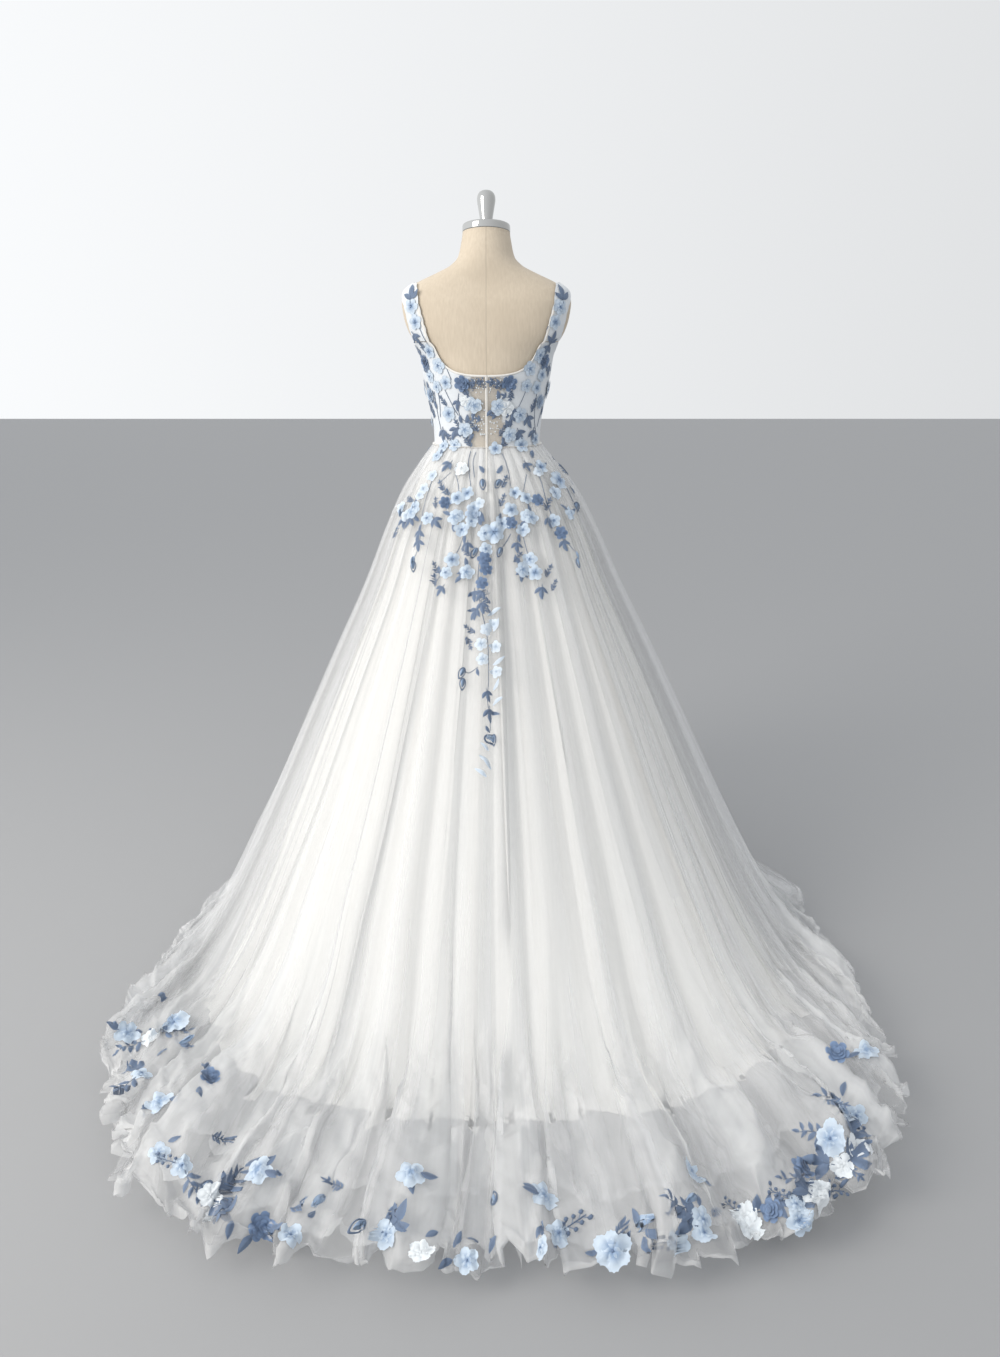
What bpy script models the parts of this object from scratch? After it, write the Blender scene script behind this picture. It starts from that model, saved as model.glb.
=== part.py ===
"""A wedding dress with a train, on a dress form: each piece that a maker cuts or sews on is one closed solid.

Metres, +Z up. The wearer's front faces -Y, the train lies towards +Y and +X is the wearer's left.
The origin is on the floor, on the axis of the form's pole.
"""

import math
import random
from collections import namedtuple

import bmesh
import bpy
from mathutils import Vector
from mathutils.bvhtree import BVHTree

# Driving dimensions of the dress
WAIST_HEIGHT = 1.0955
CLOTH = 0.0012
SEAM_GAP = 0.0003
BODICE_EASE = 0.0032
STRAP_CLOTH = 0.0015
BINDING_WIDTH = 0.005
BINDING_CLOTH = 0.0012
BINDING_LIFT = 0.0007
ZIP_WIDTH = 0.006
ZIP_THICKNESS = 0.0014
ZIP_RIDGE = 0.0006
TAPE_HEIGHT = 0.0012
TAPE_EDGE = 0.0008
SIDE_SEAM_TURN = 96.0
BACK_FOLDS = 10
FRONT_FOLDS = 16
FOLD_SEED = 7
APPLIQUE_CLOTH = 0.0012
APPLIQUE_LIFT = 0.0005
FLOWER_RISE = 0.0042
PETAL_DROOP = 0.4
CAST_REACH = 0.05

# Driving dimensions of the form
POLE_RADIUS = 0.016
POLE_TOP = 0.785
FOOT_RADIUS = 0.19
FOOT_EDGE = 0.010
FOOT_RISE = 0.026
COLLAR_RADIUS = 0.030
NECK_TILT = math.radians(9.0)
CAP_HEIGHT = 0.017
FORM_COLUMNS = 32
BODICE_COLUMN_DEGREES = 7.5
BODICE_ROWS = 8
TAPE_COLUMNS = 48

# The form from its lower edge to the top of its neck: height, half width, half depth, how far
# back the middle of the section lies, and how square the section is (2 is an ellipse).
FormSection = namedtuple("FormSection", "height half_width half_depth middle_y square")
FORM_SECTIONS = (
    FormSection(0.800, 0.158, 0.110, 0.006, 2.2),
    FormSection(0.890, 0.166, 0.117, 0.007, 2.2),
    FormSection(0.985, 0.152, 0.107, 0.004, 2.2),
    FormSection(1.060, 0.1245, 0.0915, -0.001, 2.1),
    FormSection(1.098, 0.1175, 0.0862, -0.002, 2.1),
    FormSection(1.150, 0.121, 0.091, -0.005, 2.1),
    FormSection(1.205, 0.132, 0.104, -0.011, 2.1),
    FormSection(1.255, 0.142, 0.115, -0.015, 2.1),
    FormSection(1.290, 0.147, 0.110, -0.011, 2.2),
    FormSection(1.312, 0.156, 0.104, -0.006, 2.3),
    FormSection(1.335, 0.172, 0.099, -0.002, 2.4),
    FormSection(1.370, 0.184, 0.091, 0.002, 2.4),
    FormSection(1.402, 0.188, 0.080, 0.006, 2.4),
    FormSection(1.424, 0.180, 0.068, 0.010, 2.3),
    FormSection(1.442, 0.156, 0.061, 0.012, 2.1),
    FormSection(1.462, 0.112, 0.057, 0.013, 2.0),
    FormSection(1.478, 0.079, 0.056, 0.012, 2.0),
    FormSection(1.496, 0.062, 0.055, 0.008, 2.0),
    FormSection(1.525, 0.055, 0.053, 0.000, 2.0),
    FormSection(1.546, 0.052, 0.051, -0.005, 2.0),
)

# The top edge of the bodice, by the turn from the centre back in degrees.
TopEdge = namedtuple("TopEdge", "turn height")
TOP_EDGE = (
    TopEdge(0, 1.252),
    TopEdge(16, 1.253),
    TopEdge(29, 1.257),
    TopEdge(39, 1.266),
    TopEdge(49, 1.286),
    TopEdge(58, 1.3215),
    TopEdge(76, 1.3225),
    TopEdge(84, 1.306),
    TopEdge(92, 1.296),
    TopEdge(104, 1.300),
    TopEdge(114, 1.325),
    TopEdge(130, 1.328),
    TopEdge(140, 1.306),
    TopEdge(158, 1.268),
    TopEdge(180, 1.240),
)

# The turns from the centre back at which the bodice's panels meet.
PanelCut = namedtuple("PanelCut", "name start end")
BODICE_PANELS = (
    PanelCut("bodice_back_left", 0.0, 52.5),
    PanelCut("bodice_side_left", 52.5, 127.5),
    PanelCut("bodice_front", 127.5, 232.5),
    PanelCut("bodice_side_right", 232.5, 307.5),
    PanelCut("bodice_back_right", 307.5, 360.0),
)

# The left shoulder strap, from its back end over the shoulder to its front end: the turn and
# height of its inner and of its outer edge on the form.
StrapStation = namedtuple("StrapStation", "inner_turn inner_height outer_turn outer_height")
STRAP_STATIONS = (
    StrapStation(58.5, 1.3235, 75.5, 1.3243),
    StrapStation(60.5, 1.345, 75.0, 1.345),
    StrapStation(63.5, 1.370, 76.0, 1.370),
    StrapStation(67.5, 1.396, 78.5, 1.394),
    StrapStation(72.5, 1.420, 82.5, 1.411),
    StrapStation(81.0, 1.4380, 87.0, 1.4205),
    StrapStation(92.0, 1.4405, 92.0, 1.4225),
    StrapStation(104.0, 1.4365, 98.0, 1.4185),
    StrapStation(111.0, 1.418, 101.5, 1.406),
    StrapStation(117.0, 1.390, 106.0, 1.388),
    StrapStation(122.5, 1.360, 110.0, 1.360),
    StrapStation(128.5, 1.3300, 114.5, 1.3270),
)

# The over-skirt from the waist to the hem: height, half width, how far its middle lies to the
# wearer's left, where its back, its front and its widest part lie on Y, how square its back and
# its front are, half the depth of a fold and how far a crest lifts off the floor.
SkirtSection = namedtuple(
    "SkirtSection",
    "height half_width middle_x back_y front_y wide_y back_square front_square fold lift",
)
SKIRT_SECTIONS = (
    SkirtSection(WAIST_HEIGHT, 0.1258, 0.000, 0.0923, -0.0963, -0.002, 2.1, 2.1, 0.0005, 0.0),
    SkirtSection(1.052, 0.159, -0.002, 0.128, -0.126, 0.000, 2.1, 2.1, 0.0042, 0.0),
    SkirtSection(0.995, 0.199, -0.005, 0.168, -0.156, 0.002, 2.1, 2.1, 0.0075, 0.0),
    SkirtSection(0.910, 0.241, -0.008, 0.216, -0.190, 0.010, 2.1, 2.1, 0.0095, 0.0),
    SkirtSection(0.780, 0.296, -0.011, 0.285, -0.235, 0.030, 2.1, 2.1, 0.012, 0.0),
    SkirtSection(0.610, 0.378, -0.014, 0.385, -0.292, 0.065, 2.1, 2.1, 0.015, 0.0),
    SkirtSection(0.430, 0.461, -0.016, 0.510, -0.348, 0.120, 2.1, 2.0, 0.018, 0.0),
    SkirtSection(0.260, 0.536, -0.018, 0.655, -0.402, 0.200, 2.2, 2.0, 0.022, 0.0),
    SkirtSection(0.125, 0.600, -0.022, 0.815, -0.440, 0.320, 2.35, 2.0, 0.024, 0.004),
    SkirtSection(0.045, 0.650, -0.026, 0.965, -0.464, 0.430, 2.55, 1.95, 0.019, 0.014),
    SkirtSection(0.013, 0.696, -0.030, 1.125, -0.478, 0.530, 2.7, 1.95, 0.014, 0.028),
    SkirtSection(CLOTH, 0.736, -0.032, 1.285, -0.492, 0.610, 2.8, 1.95, 0.012, 0.034),
)

# Each layer of the skirt, from the outside in: how many sections it reaches, the share of the
# over-skirt's fold depth that it has, and how many of its folds make one of this layer's. The
# insets say how far inside the over-skirt it lies at each section, and the drops how far below.
SkirtLayer = namedtuple("SkirtLayer", "name sections fold_share merged insets drops")
LAYERS = (
    SkirtLayer("overskirt", 12, 1.0, 1, (0.0,) * 12, (0.0,) * 12),
    SkirtLayer(
        "underskirt",
        11,
        0.7,
        1,
        (0.0021, 0.0085, 0.012, 0.015, 0.018, 0.020, 0.022, 0.023, 0.023, 0.020, 0.018),
        (0.0,) * 8 + (0.002, 0.012, 0.0075),
    ),
    SkirtLayer(
        "lining",
        10,
        0.45,
        2,
        (0.0046, 0.0165, 0.024, 0.030, 0.0365, 0.0425, 0.0485, 0.055, 0.059, 0.0495),
        (0.0,) * 8 + (0.006, 0.0435),
    ),
)

# Where the skirt's panels meet, as a turn from the centre back.
SkirtPanel = namedtuple("SkirtPanel", "name start end folds")
SKIRT_PANELS = (
    SkirtPanel("back_left", 0.0, SIDE_SEAM_TURN, BACK_FOLDS),
    SkirtPanel("front", SIDE_SEAM_TURN, 360.0 - SIDE_SEAM_TURN, FRONT_FOLDS),
    SkirtPanel("back_right", 360.0 - SIDE_SEAM_TURN, 360.0, BACK_FOLDS),
)
# One fold from trough to trough: the place across it, and its height from -1 to 1.
FoldPoint = namedtuple("FoldPoint", "across rise")
FOLD_SHAPE = (FoldPoint(0.0, -1.0), FoldPoint(0.36, 0.8), FoldPoint(0.66, 0.75))
PLAIN_FOLD_SHAPE = (FoldPoint(0.0, -1.0), FoldPoint(0.5, 0.9))

# The raised flowers: the panel that carries one, its turn from the centre back and its height on
# the form, or how far down the skirt it lies as a section number, its radius, how far it is spun,
# and the notches between its petals that hold a leaf.
Flower = namedtuple("Flower", "name carrier turn place radius spin leaves")
BODICE_FLOWERS = (
    Flower("back_disc_left", "bodice_back_left", 26.5, 1.236, 0.017, 0, ()),
    Flower("back_disc_right", "bodice_back_right", 335.0, 1.236, 0.017, 20, ()),
    Flower("back_upper_left", "bodice_back_left", 46.5, 1.257, 0.018, 10, (2, 3)),
    Flower("back_upper_right", "bodice_back_right", 314.5, 1.256, 0.017, 60, (3, 4)),
    Flower("back_inner_left", "bodice_back_left", 11.0, 1.196, 0.017, 30, (3, 4)),
    Flower("back_inner_right", "bodice_back_right", 349.0, 1.192, 0.017, 55, (0, 4)),
    Flower("back_waist_left", "bodice_back_left", 33.0, 1.128, 0.019, 12, (0, 2)),
    Flower("back_waist_right", "bodice_back_right", 327.0, 1.130, 0.019, 45, (3, 4)),
    Flower("side_left", "bodice_side_left", 84.0, 1.215, 0.018, 5, (0, 3)),
    Flower("side_right", "bodice_side_right", 276.0, 1.215, 0.018, 35, (1, 3)),
    Flower("front_left", "bodice_front", 156.0, 1.215, 0.019, 20, (0, 2)),
    Flower("front_right", "bodice_front", 204.0, 1.215, 0.019, 50, (1, 4)),
    Flower("front_waist", "bodice_front", 180.0, 1.135, 0.020, 0, (0, 2, 3)),
)
SKIRT_FLOWERS = (
    Flower("hip_left", "overskirt_back_left", 2.5, 2.5, 0.020, 15, (0, 3)),
    Flower("hip_right", "overskirt_back_right", 7.5, 2.5, 0.020, 48, (1, 4)),
    Flower("hip_outer_left", "overskirt_back_left", 5.5, 2.5, 0.019, 30, (2, 3)),
    Flower("hip_outer_right", "overskirt_back_right", 4.5, 2.5, 0.019, 60, (0, 2)),
    Flower("spray_left", "overskirt_back_left", 1.5, 3.5, 0.019, 0, (2, 4)),
    Flower("spray_right", "overskirt_back_right", 8.5, 3.5, 0.019, 22, (0, 2)),
    Flower("vine_top", "overskirt_back_right", 9.5, 4.4, 0.020, 40, (2, 3)),
    Flower("hem_left_a", "overskirt_back_left", 1.5, 10.35, 0.027, 10, (0, 3)),
    Flower("hem_left_b", "overskirt_back_left", 3.5, 10.35, 0.027, 35, (1, 4)),
    Flower("hem_left_c", "overskirt_back_left", 5.5, 10.35, 0.026, 50, (2, 4)),
    Flower("hem_left_d", "overskirt_back_left", 7.5, 10.35, 0.026, 5, (0, 2)),
    Flower("hem_right_a", "overskirt_back_right", 9.5, 10.35, 0.027, 5, (1, 3)),
    Flower("hem_right_b", "overskirt_back_right", 7.5, 10.35, 0.027, 30, (0, 4)),
    Flower("hem_right_c", "overskirt_back_right", 5.5, 10.35, 0.026, 55, (2, 3)),
    Flower("hem_right_d", "overskirt_back_right", 3.5, 10.35, 0.024, 20, (1, 4)),
    Flower("hem_front_left", "overskirt_front", 3.5, 8.5, 0.026, 20, (0, 3)),
    Flower("hem_front_middle", "overskirt_front", 7.5, 8.5, 0.026, 42, (1, 4)),
    Flower("hem_front_right", "overskirt_front", 12.5, 8.5, 0.026, 8, (2, 4)),
)
PETALS = 5
LEAF_REACH = 1.9


def blend(rows, key, place, field):
    """The value of a field between the rows of a table, on a smooth curve through them."""
    keys = [getattr(row, key) for row in rows]
    values = [getattr(row, field) for row in rows]
    rising = keys[-1] > keys[0]
    if not rising:
        keys, values = keys[::-1], values[::-1]
    place = min(max(place, keys[0]), keys[-1])
    index = max(i for i in range(len(keys) - 1) if keys[i] <= place)
    span = keys[index + 1] - keys[index]
    share = (place - keys[index]) / span

    def slope(i):
        if i in (0, len(keys) - 1):
            return 0.0
        before = (values[i] - values[i - 1]) / (keys[i] - keys[i - 1])
        after = (values[i + 1] - values[i]) / (keys[i + 1] - keys[i])
        return 0.0 if before * after <= 0 else 2 * before * after / (before + after)

    square, cube = share**2, share**3
    return (
        (2 * cube - 3 * square + 1) * values[index]
        + (cube - 2 * square + share) * span * slope(index)
        + (3 * square - 2 * cube) * values[index + 1]
        + (cube - square) * span * slope(index + 1)
    )


def section_reach(turn, half_width, half_depth, square):
    """How far a rounded section reaches from its middle, in the direction of a turn in degrees."""
    across = abs(math.sin(math.radians(turn))) / half_width
    along = abs(math.cos(math.radians(turn))) / half_depth
    return (across**square + along**square) ** (-1 / square)


def form_point(turn, height):
    """A point on the form's surface. Its neck leans, so its upper rings are tilted."""
    half_width = blend(FORM_SECTIONS, "height", height, "half_width")
    half_depth = blend(FORM_SECTIONS, "height", height, "half_depth")
    middle_y = blend(FORM_SECTIONS, "height", height, "middle_y")
    square = blend(FORM_SECTIONS, "height", height, "square")
    reach = section_reach(turn, half_width, half_depth, square)
    x = reach * math.sin(math.radians(turn))
    y = reach * math.cos(math.radians(turn))
    neck_share = min(max((height - 1.44) / 0.07, 0.0), 1.0)
    return Vector((x, middle_y + y, height + y * math.tan(NECK_TILT) * neck_share))


def form_normal(turn, height):
    step_turn, step_height = 0.5, 0.002
    around = form_point(turn + step_turn, height) - form_point(turn - step_turn, height)
    up = form_point(turn, height + step_height) - form_point(turn, height - step_height)
    normal = around.cross(up).normalized()
    outward = form_point(turn, height) - Vector((0, 0, height))
    return normal if normal.dot(outward) > 0 else -normal


def material(name, color, roughness, metallic=0.0):
    made = bpy.data.materials.new(name)
    made.use_nodes = True
    shader = made.node_tree.nodes["Principled BSDF"]
    shader.inputs["Base Color"].default_value = (*color, 1.0)
    shader.inputs["Roughness"].default_value = roughness
    shader.inputs["Metallic"].default_value = metallic
    return made


def add_object(name, mesh, finish):
    made = bpy.data.objects.new(name, mesh)
    mesh.materials.append(finish)
    PARTS.objects.link(made)
    return made


def mesh_from(name, work):
    mesh = bpy.data.meshes.new(name)
    bmesh.ops.recalc_face_normals(work, faces=work.faces)
    work.to_mesh(mesh)
    work.free()
    return mesh


def ring_loft(name, rings, finish):
    """A closed solid through rings of the same number of points, capped at both ends."""
    work = bmesh.new()
    loops = [[work.verts.new(point) for point in ring] for ring in rings]
    count = len(loops[0])
    for lower, upper in zip(loops, loops[1:]):
        for i in range(count):
            j = (i + 1) % count
            work.faces.new((lower[i], lower[j], upper[j], upper[i]))
    work.faces.new(loops[0])
    work.faces.new(loops[-1])
    made = add_object(name, mesh_from(name, work), finish)
    made.data.shade_smooth()
    made.data.set_sharp_from_angle(angle=math.radians(50))
    return made


def wall(name, outer, inner, finish):
    """A closed wall between two grids of points, rows by columns, that face each other."""
    work = bmesh.new()
    grids = [[[work.verts.new(point) for point in row] for row in grid] for grid in (outer, inner)]
    rows, columns = len(outer), len(outer[0])
    for grid in grids:
        for r in range(rows - 1):
            for c in range(columns - 1):
                corners = (grid[r][c], grid[r][c + 1], grid[r + 1][c + 1], grid[r + 1][c])
                work.faces.new(corners)
    front, back = grids
    rim = [(0, c) for c in range(columns)]
    rim += [(r, columns - 1) for r in range(1, rows)]
    rim += [(rows - 1, c) for c in range(columns - 2, -1, -1)]
    rim += [(r, 0) for r in range(rows - 2, 0, -1)]
    for (r, c), (s, d) in zip(rim, rim[1:] + rim[:1]):
        work.faces.new((front[r][c], front[s][d], back[s][d], back[r][c]))
    bmesh.ops.triangulate(work, faces=work.faces, quad_method="FIXED")
    made = add_object(name, mesh_from(name, work), finish)
    made.data.shade_smooth()
    made.data.set_sharp_from_angle(angle=math.radians(60))
    return made


def turned(name, profile, finish, segments=28, place=(0, 0, 0), tilt=0.0):
    """A profile of radius and height, listed from its top to its bottom, turned about Z."""
    work = bmesh.new()
    points = [work.verts.new((radius, 0, height)) for radius, height in profile]
    for upper, lower in zip(points, points[1:]):
        work.edges.new((upper, lower))
    mesh = bpy.data.meshes.new(name)
    work.to_mesh(mesh)
    work.free()
    made = add_object(name, mesh, finish)
    screw = made.modifiers.new("turn", "SCREW")
    screw.steps = screw.render_steps = segments
    screw.use_merge_vertices = True
    screw.merge_threshold = 0.00005
    screw.use_smooth_shade = True
    made.location = place
    made.rotation_euler = (tilt, 0, 0)
    return made


def make_form():
    """The padded torso, its metal neck cap and knob, and the pole and foot that carry it."""
    heights = [section.height for section in FORM_SECTIONS]
    turns = [360.0 * i / FORM_COLUMNS for i in range(FORM_COLUMNS)]
    rings = [[form_point(turn, height) for turn in turns] for height in heights]
    ring_loft("form_torso", rings, LINEN)

    neck = FORM_SECTIONS[-1]
    cap_base = Vector((0, neck.middle_y, neck.height + SEAM_GAP))
    rim = neck.half_width + 0.0005
    cap_profile = (
        (0.0, CAP_HEIGHT),
        (rim - 0.009, CAP_HEIGHT - 0.0010),
        (rim - 0.002, CAP_HEIGHT - 0.0050),
        (rim, CAP_HEIGHT - 0.0090),
        (rim, 0.0),
        (0.0, 0.0),
    )
    turned("form_neck_cap", cap_profile, CHROME, 30, cap_base, NECK_TILT)

    cap_axis = Vector((0, -math.sin(NECK_TILT), math.cos(NECK_TILT)))
    knob_base = cap_base + cap_axis * (CAP_HEIGHT + SEAM_GAP)
    knob_profile = (
        (0.0, 0.0700),
        (0.0100, 0.0685),
        (0.0165, 0.0635),
        (0.0198, 0.0560),
        (0.0202, 0.0490),
        (0.0185, 0.0380),
        (0.0140, 0.0120),
        (0.0135, 0.0070),
        (0.0155, 0.0045),
        (0.0155, 0.0),
        (0.0, 0.0),
    )
    turned("form_knob", knob_profile, CHROME, 20, knob_base, NECK_TILT)

    pole_profile = (
        (0.0, POLE_TOP),
        (POLE_RADIUS, POLE_TOP),
        (POLE_RADIUS, FOOT_RISE + SEAM_GAP),
        (0.0, FOOT_RISE + SEAM_GAP),
    )
    turned("form_pole", pole_profile, STEEL, 20)
    plate_profile = (
        (0.0, 0.7997),
        (0.075, 0.7997),
        (0.075, 0.7917),
        (COLLAR_RADIUS, 0.7857),
        (COLLAR_RADIUS, POLE_TOP + SEAM_GAP),
        (0.0, POLE_TOP + SEAM_GAP),
    )
    turned("form_socket", plate_profile, STEEL, 24)
    foot_profile = (
        (0.0, FOOT_RISE),
        (COLLAR_RADIUS, FOOT_RISE),
        (COLLAR_RADIUS + 0.004, FOOT_EDGE + 0.004),
        (FOOT_RADIUS - 0.006, FOOT_EDGE),
        (FOOT_RADIUS, FOOT_EDGE - 0.004),
        (FOOT_RADIUS, 0.0),
        (0.0, 0.0),
    )
    turned("form_foot", foot_profile, STEEL, 36)


def bodice_top(turn):
    """The height of the bodice's top edge. Both halves are alike."""
    folded = turn % 360.0
    return blend(TOP_EDGE, "turn", min(folded, 360.0 - folded), "height")


def worn_point(turn, height, out):
    """A point this far off the form, along the form's normal."""
    return form_point(turn, height) + form_normal(turn, height) * out


def seam_turns(start, end, gap):
    """The columns of a panel, pulled in at both of its seams by half the seam's gap."""
    steps = round((end - start) / BODICE_COLUMN_DEGREES)
    turns = [start + (end - start) * i / steps for i in range(steps + 1)]
    pulled = math.degrees(gap / 2 / 0.13)
    turns[0] += pulled
    turns[-1] -= pulled
    return turns


def make_bodice():
    """Five fitted panels, closed by the zip at the centre back."""
    foot = WAIST_HEIGHT + TAPE_HEIGHT + 2 * SEAM_GAP
    faces = {}
    for panel in BODICE_PANELS:
        turns = seam_turns(panel.start, panel.end, 2 * SEAM_GAP)
        outer, inner = [], []
        for r in range(BODICE_ROWS + 1):
            share = r / BODICE_ROWS
            heights = [foot + (bodice_top(turn) - foot) * share for turn in turns]
            places = list(zip(turns, heights))
            inner.append([worn_point(t, h, BODICE_EASE) for t, h in places])
            outer.append([worn_point(t, h, BODICE_EASE + CLOTH) for t, h in places])
        for row in (outer[0], inner[0]):
            for point in row:
                point.z = foot
        wall(panel.name, outer, inner, LACE)
        faces[panel.name] = outer
    return faces


def mirrored(side, turn):
    return turn if side == "left" else 360.0 - turn


def make_straps():
    """A strap over each shoulder, from the back panel's top edge to the front's."""
    shares = (0.0, 0.33, 0.67, 1.0)
    for side in ("left", "right"):
        outer, inner = [], []
        for station in STRAP_STATIONS:
            places = []
            for share in shares:
                turn = station.inner_turn + (station.outer_turn - station.inner_turn) * share
                rise = station.outer_height - station.inner_height
                places.append((mirrored(side, turn), station.inner_height + rise * share))
            inner.append([worn_point(t, h, BODICE_EASE) for t, h in places])
            outer.append([worn_point(t, h, BODICE_EASE + STRAP_CLOTH) for t, h in places])
        wall(f"strap_{side}", outer, inner, LACE)


def on_grid(grid, row, column):
    """The point of a grid at a place between its rows and columns."""
    r = min(int(row), len(grid) - 2)
    c = min(int(column), len(grid[0]) - 2)
    lower = grid[r][c].lerp(grid[r][c + 1], column - c)
    upper = grid[r + 1][c].lerp(grid[r + 1][c + 1], column - c)
    return lower.lerp(upper, row - r)


def from_zip(panels, side):
    """The outer face of a back panel and its normals, with its columns counted from the zip."""
    outer = panels[f"bodice_back_{side}"]
    if side == "right":
        outer = [row[::-1] for row in outer]
    return outer, grid_normals(outer)


def make_bindings(panels):
    """The narrow white binding along the scooped back, one strip on each side of the zip."""
    for side in ("left", "right"):
        face, normals = from_zip(panels, side)
        first = (ZIP_WIDTH / 2 + SEAM_GAP) / (face[-1][1] - face[-1][0]).length
        columns = [first] + list(range(1, len(face[0])))
        outer, inner = [], []
        for column in columns:
            top = on_grid(face, BODICE_ROWS, column)
            height = (top - on_grid(face, BODICE_ROWS - 1, column)).length
            foot_row = BODICE_ROWS - BINDING_WIDTH / height
            places = [top, on_grid(face, foot_row, column)]
            normal = on_grid(normals, BODICE_ROWS, column).normalized()
            inner.append([point + normal * BINDING_LIFT for point in places])
            outer.append([point + normal * (BINDING_LIFT + BINDING_CLOTH) for point in places])
        wall(f"back_binding_{side}", outer, inner, TAPE)


def make_zip(panels):
    """The closed zip down the centre back, over the gap between the two back panels."""
    left, left_normals = from_zip(panels, "left")
    right, right_normals = from_zip(panels, "right")
    outer, inner = [], []
    for row in [0.25] + list(range(1, BODICE_ROWS + 1)):
        reach = (on_grid(left, row, 1) - on_grid(left, row, 0)).length
        column = ZIP_WIDTH / 2 / reach
        spots = [on_grid(right, row, column), on_grid(right, row, 0), on_grid(left, row, column)]
        spots[1] = (spots[1] + on_grid(left, row, 0)) / 2
        normal = on_grid(left_normals, row, 0) + on_grid(right_normals, row, 0)
        normal = normal.normalized()
        ridges = (ZIP_THICKNESS, ZIP_THICKNESS + ZIP_RIDGE, ZIP_THICKNESS)
        inner.append([spot + normal * BINDING_LIFT for spot in spots])
        outer.append([p + normal * ridge for p, ridge in zip(inner[-1], ridges)])
    wall("back_zip", outer, inner, TAPE)


def make_waist_tape():
    """The tape in the waist seam: the bodice is sewn to its top and the skirt's layers below."""
    seam, lining = SKIRT_SECTIONS[0], LAYERS[-1]
    offsets = (seam.fold + TAPE_EDGE, -(lining.insets[0] + CLOTH + TAPE_EDGE / 2))
    work = bmesh.new()
    rings = []
    for offset in offsets:
        for height in (SEAM_GAP, SEAM_GAP + TAPE_HEIGHT):
            ring = []
            for i in range(TAPE_COLUMNS):
                turn = 360.0 * i / TAPE_COLUMNS
                reach = skirt_reach(turn, seam, offset)
                x = reach * math.sin(math.radians(turn))
                y = seam.wide_y + reach * math.cos(math.radians(turn))
                ring.append(work.verts.new((x, y, WAIST_HEIGHT + height)))
            rings.append(ring)
    outer_foot, outer_top, inner_foot, inner_top = rings
    around = (outer_foot, outer_top, inner_top, inner_foot)
    for first, second in zip(around, around[1:] + around[:1]):
        for i in range(TAPE_COLUMNS):
            j = (i + 1) % TAPE_COLUMNS
            work.faces.new((first[i], first[j], second[j], second[i]))
    add_object("waist_tape", mesh_from("waist_tape", work), TAPE)


def skirt_folds():
    """For each panel, its folds' edges as turns and how deep each fold is, from one seed."""
    dice = random.Random(FOLD_SEED)
    layout = {}
    for panel in SKIRT_PANELS:
        widths = [dice.uniform(0.62, 1.38) for _ in range(panel.folds)]
        depths = [dice.uniform(0.45, 1.2) for _ in range(panel.folds)]
        whole = sum(widths)
        edges = [panel.start]
        for width in widths:
            edges.append(edges[-1] + (panel.end - panel.start) * width / whole)
        layout[panel.name] = (edges, depths)
    return layout


def skirt_reach(turn, section, offset):
    """How far a section of the skirt reaches from its widest line, grown by an offset."""
    behind = math.cos(math.radians(turn)) > 0
    end_y = section.back_y if behind else section.front_y
    square = section.back_square if behind else section.front_square
    half_depth = abs(end_y - section.wide_y) + offset
    return section_reach(turn, section.half_width + offset, half_depth, square)


def skirt_point(turn, rise, depth, row, layer):
    """A point of a layer at a section, at a fold's rise from -1 in its trough to 1 on its crest."""
    section = SKIRT_SECTIONS[row]
    inset, drop = layer.insets[row], layer.drops[row]
    reach = skirt_reach(turn, section, -inset)
    reach += section.fold * layer.fold_share * depth * rise
    lift = section.lift * layer.fold_share * depth * (rise + 1) / 2
    x = section.middle_x + reach * math.sin(math.radians(turn))
    y = section.wide_y + reach * math.cos(math.radians(turn))
    return Vector((x, y, section.height - drop + lift))


def layer_columns(layer, layout):
    """The columns of a whole layer, panel by panel: turn, rise, depth of the fold, and panel."""
    shape = FOLD_SHAPE if layer.name == "overskirt" else PLAIN_FOLD_SHAPE
    columns = []
    for panel in SKIRT_PANELS:
        edges, depths = layout[panel.name]
        for k in range(0, len(depths), layer.merged):
            last = k + layer.merged
            depth = sum(depths[k:last]) / layer.merged
            for point in shape:
                turn = edges[k] + (edges[last] - edges[k]) * point.across
                columns.append((turn, point.rise, depth, panel.name))
    return columns


def panel_slice(line, names, name):
    """The columns of one panel out of a closed row, with the next panel's first at its end."""
    first = names.index(name)
    count = names.count(name)
    return [line[(first + i) % len(line)] for i in range(count + 1)]


def pull_seams(grid, guide):
    """Pull both side edges of a panel in, square to its seam, by half of the seam's gap or more."""
    last_row = len(guide) - 1
    for r, (row, line) in enumerate(zip(grid, guide)):
        for end, beside in ((0, 1), (-1, -2)):
            seam = guide[min(r + 1, last_row)][end] - guide[max(r - 1, 0)][end]
            inward = line[beside] - line[end]
            inward -= inward.project(seam)
            row[end] = row[end] + inward.normalized() * SEAM_GAP


def grid_normals(grid, closed=False):
    """The outward direction at each point of a grid whose rows may close around the body."""
    rows, columns = len(grid), len(grid[0])
    normals = []
    for r in range(rows):
        line = []
        for c in range(columns):
            after = (c + 1) % columns if closed else min(c + 1, columns - 1)
            before = (c - 1) % columns if closed else max(c - 1, 0)
            across = grid[r][after] - grid[r][before]
            down = grid[min(r + 1, rows - 1)][c] - grid[max(r - 1, 0)][c]
            line.append(down.cross(across).normalized())
        normals.append(line)
    probe = grid[rows // 2][0]
    outward = Vector((probe.x, probe.y, 0.0))
    if normals[rows // 2][0].dot(outward) < 0:
        normals = [[-normal for normal in line] for line in normals]
    return normals


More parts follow.
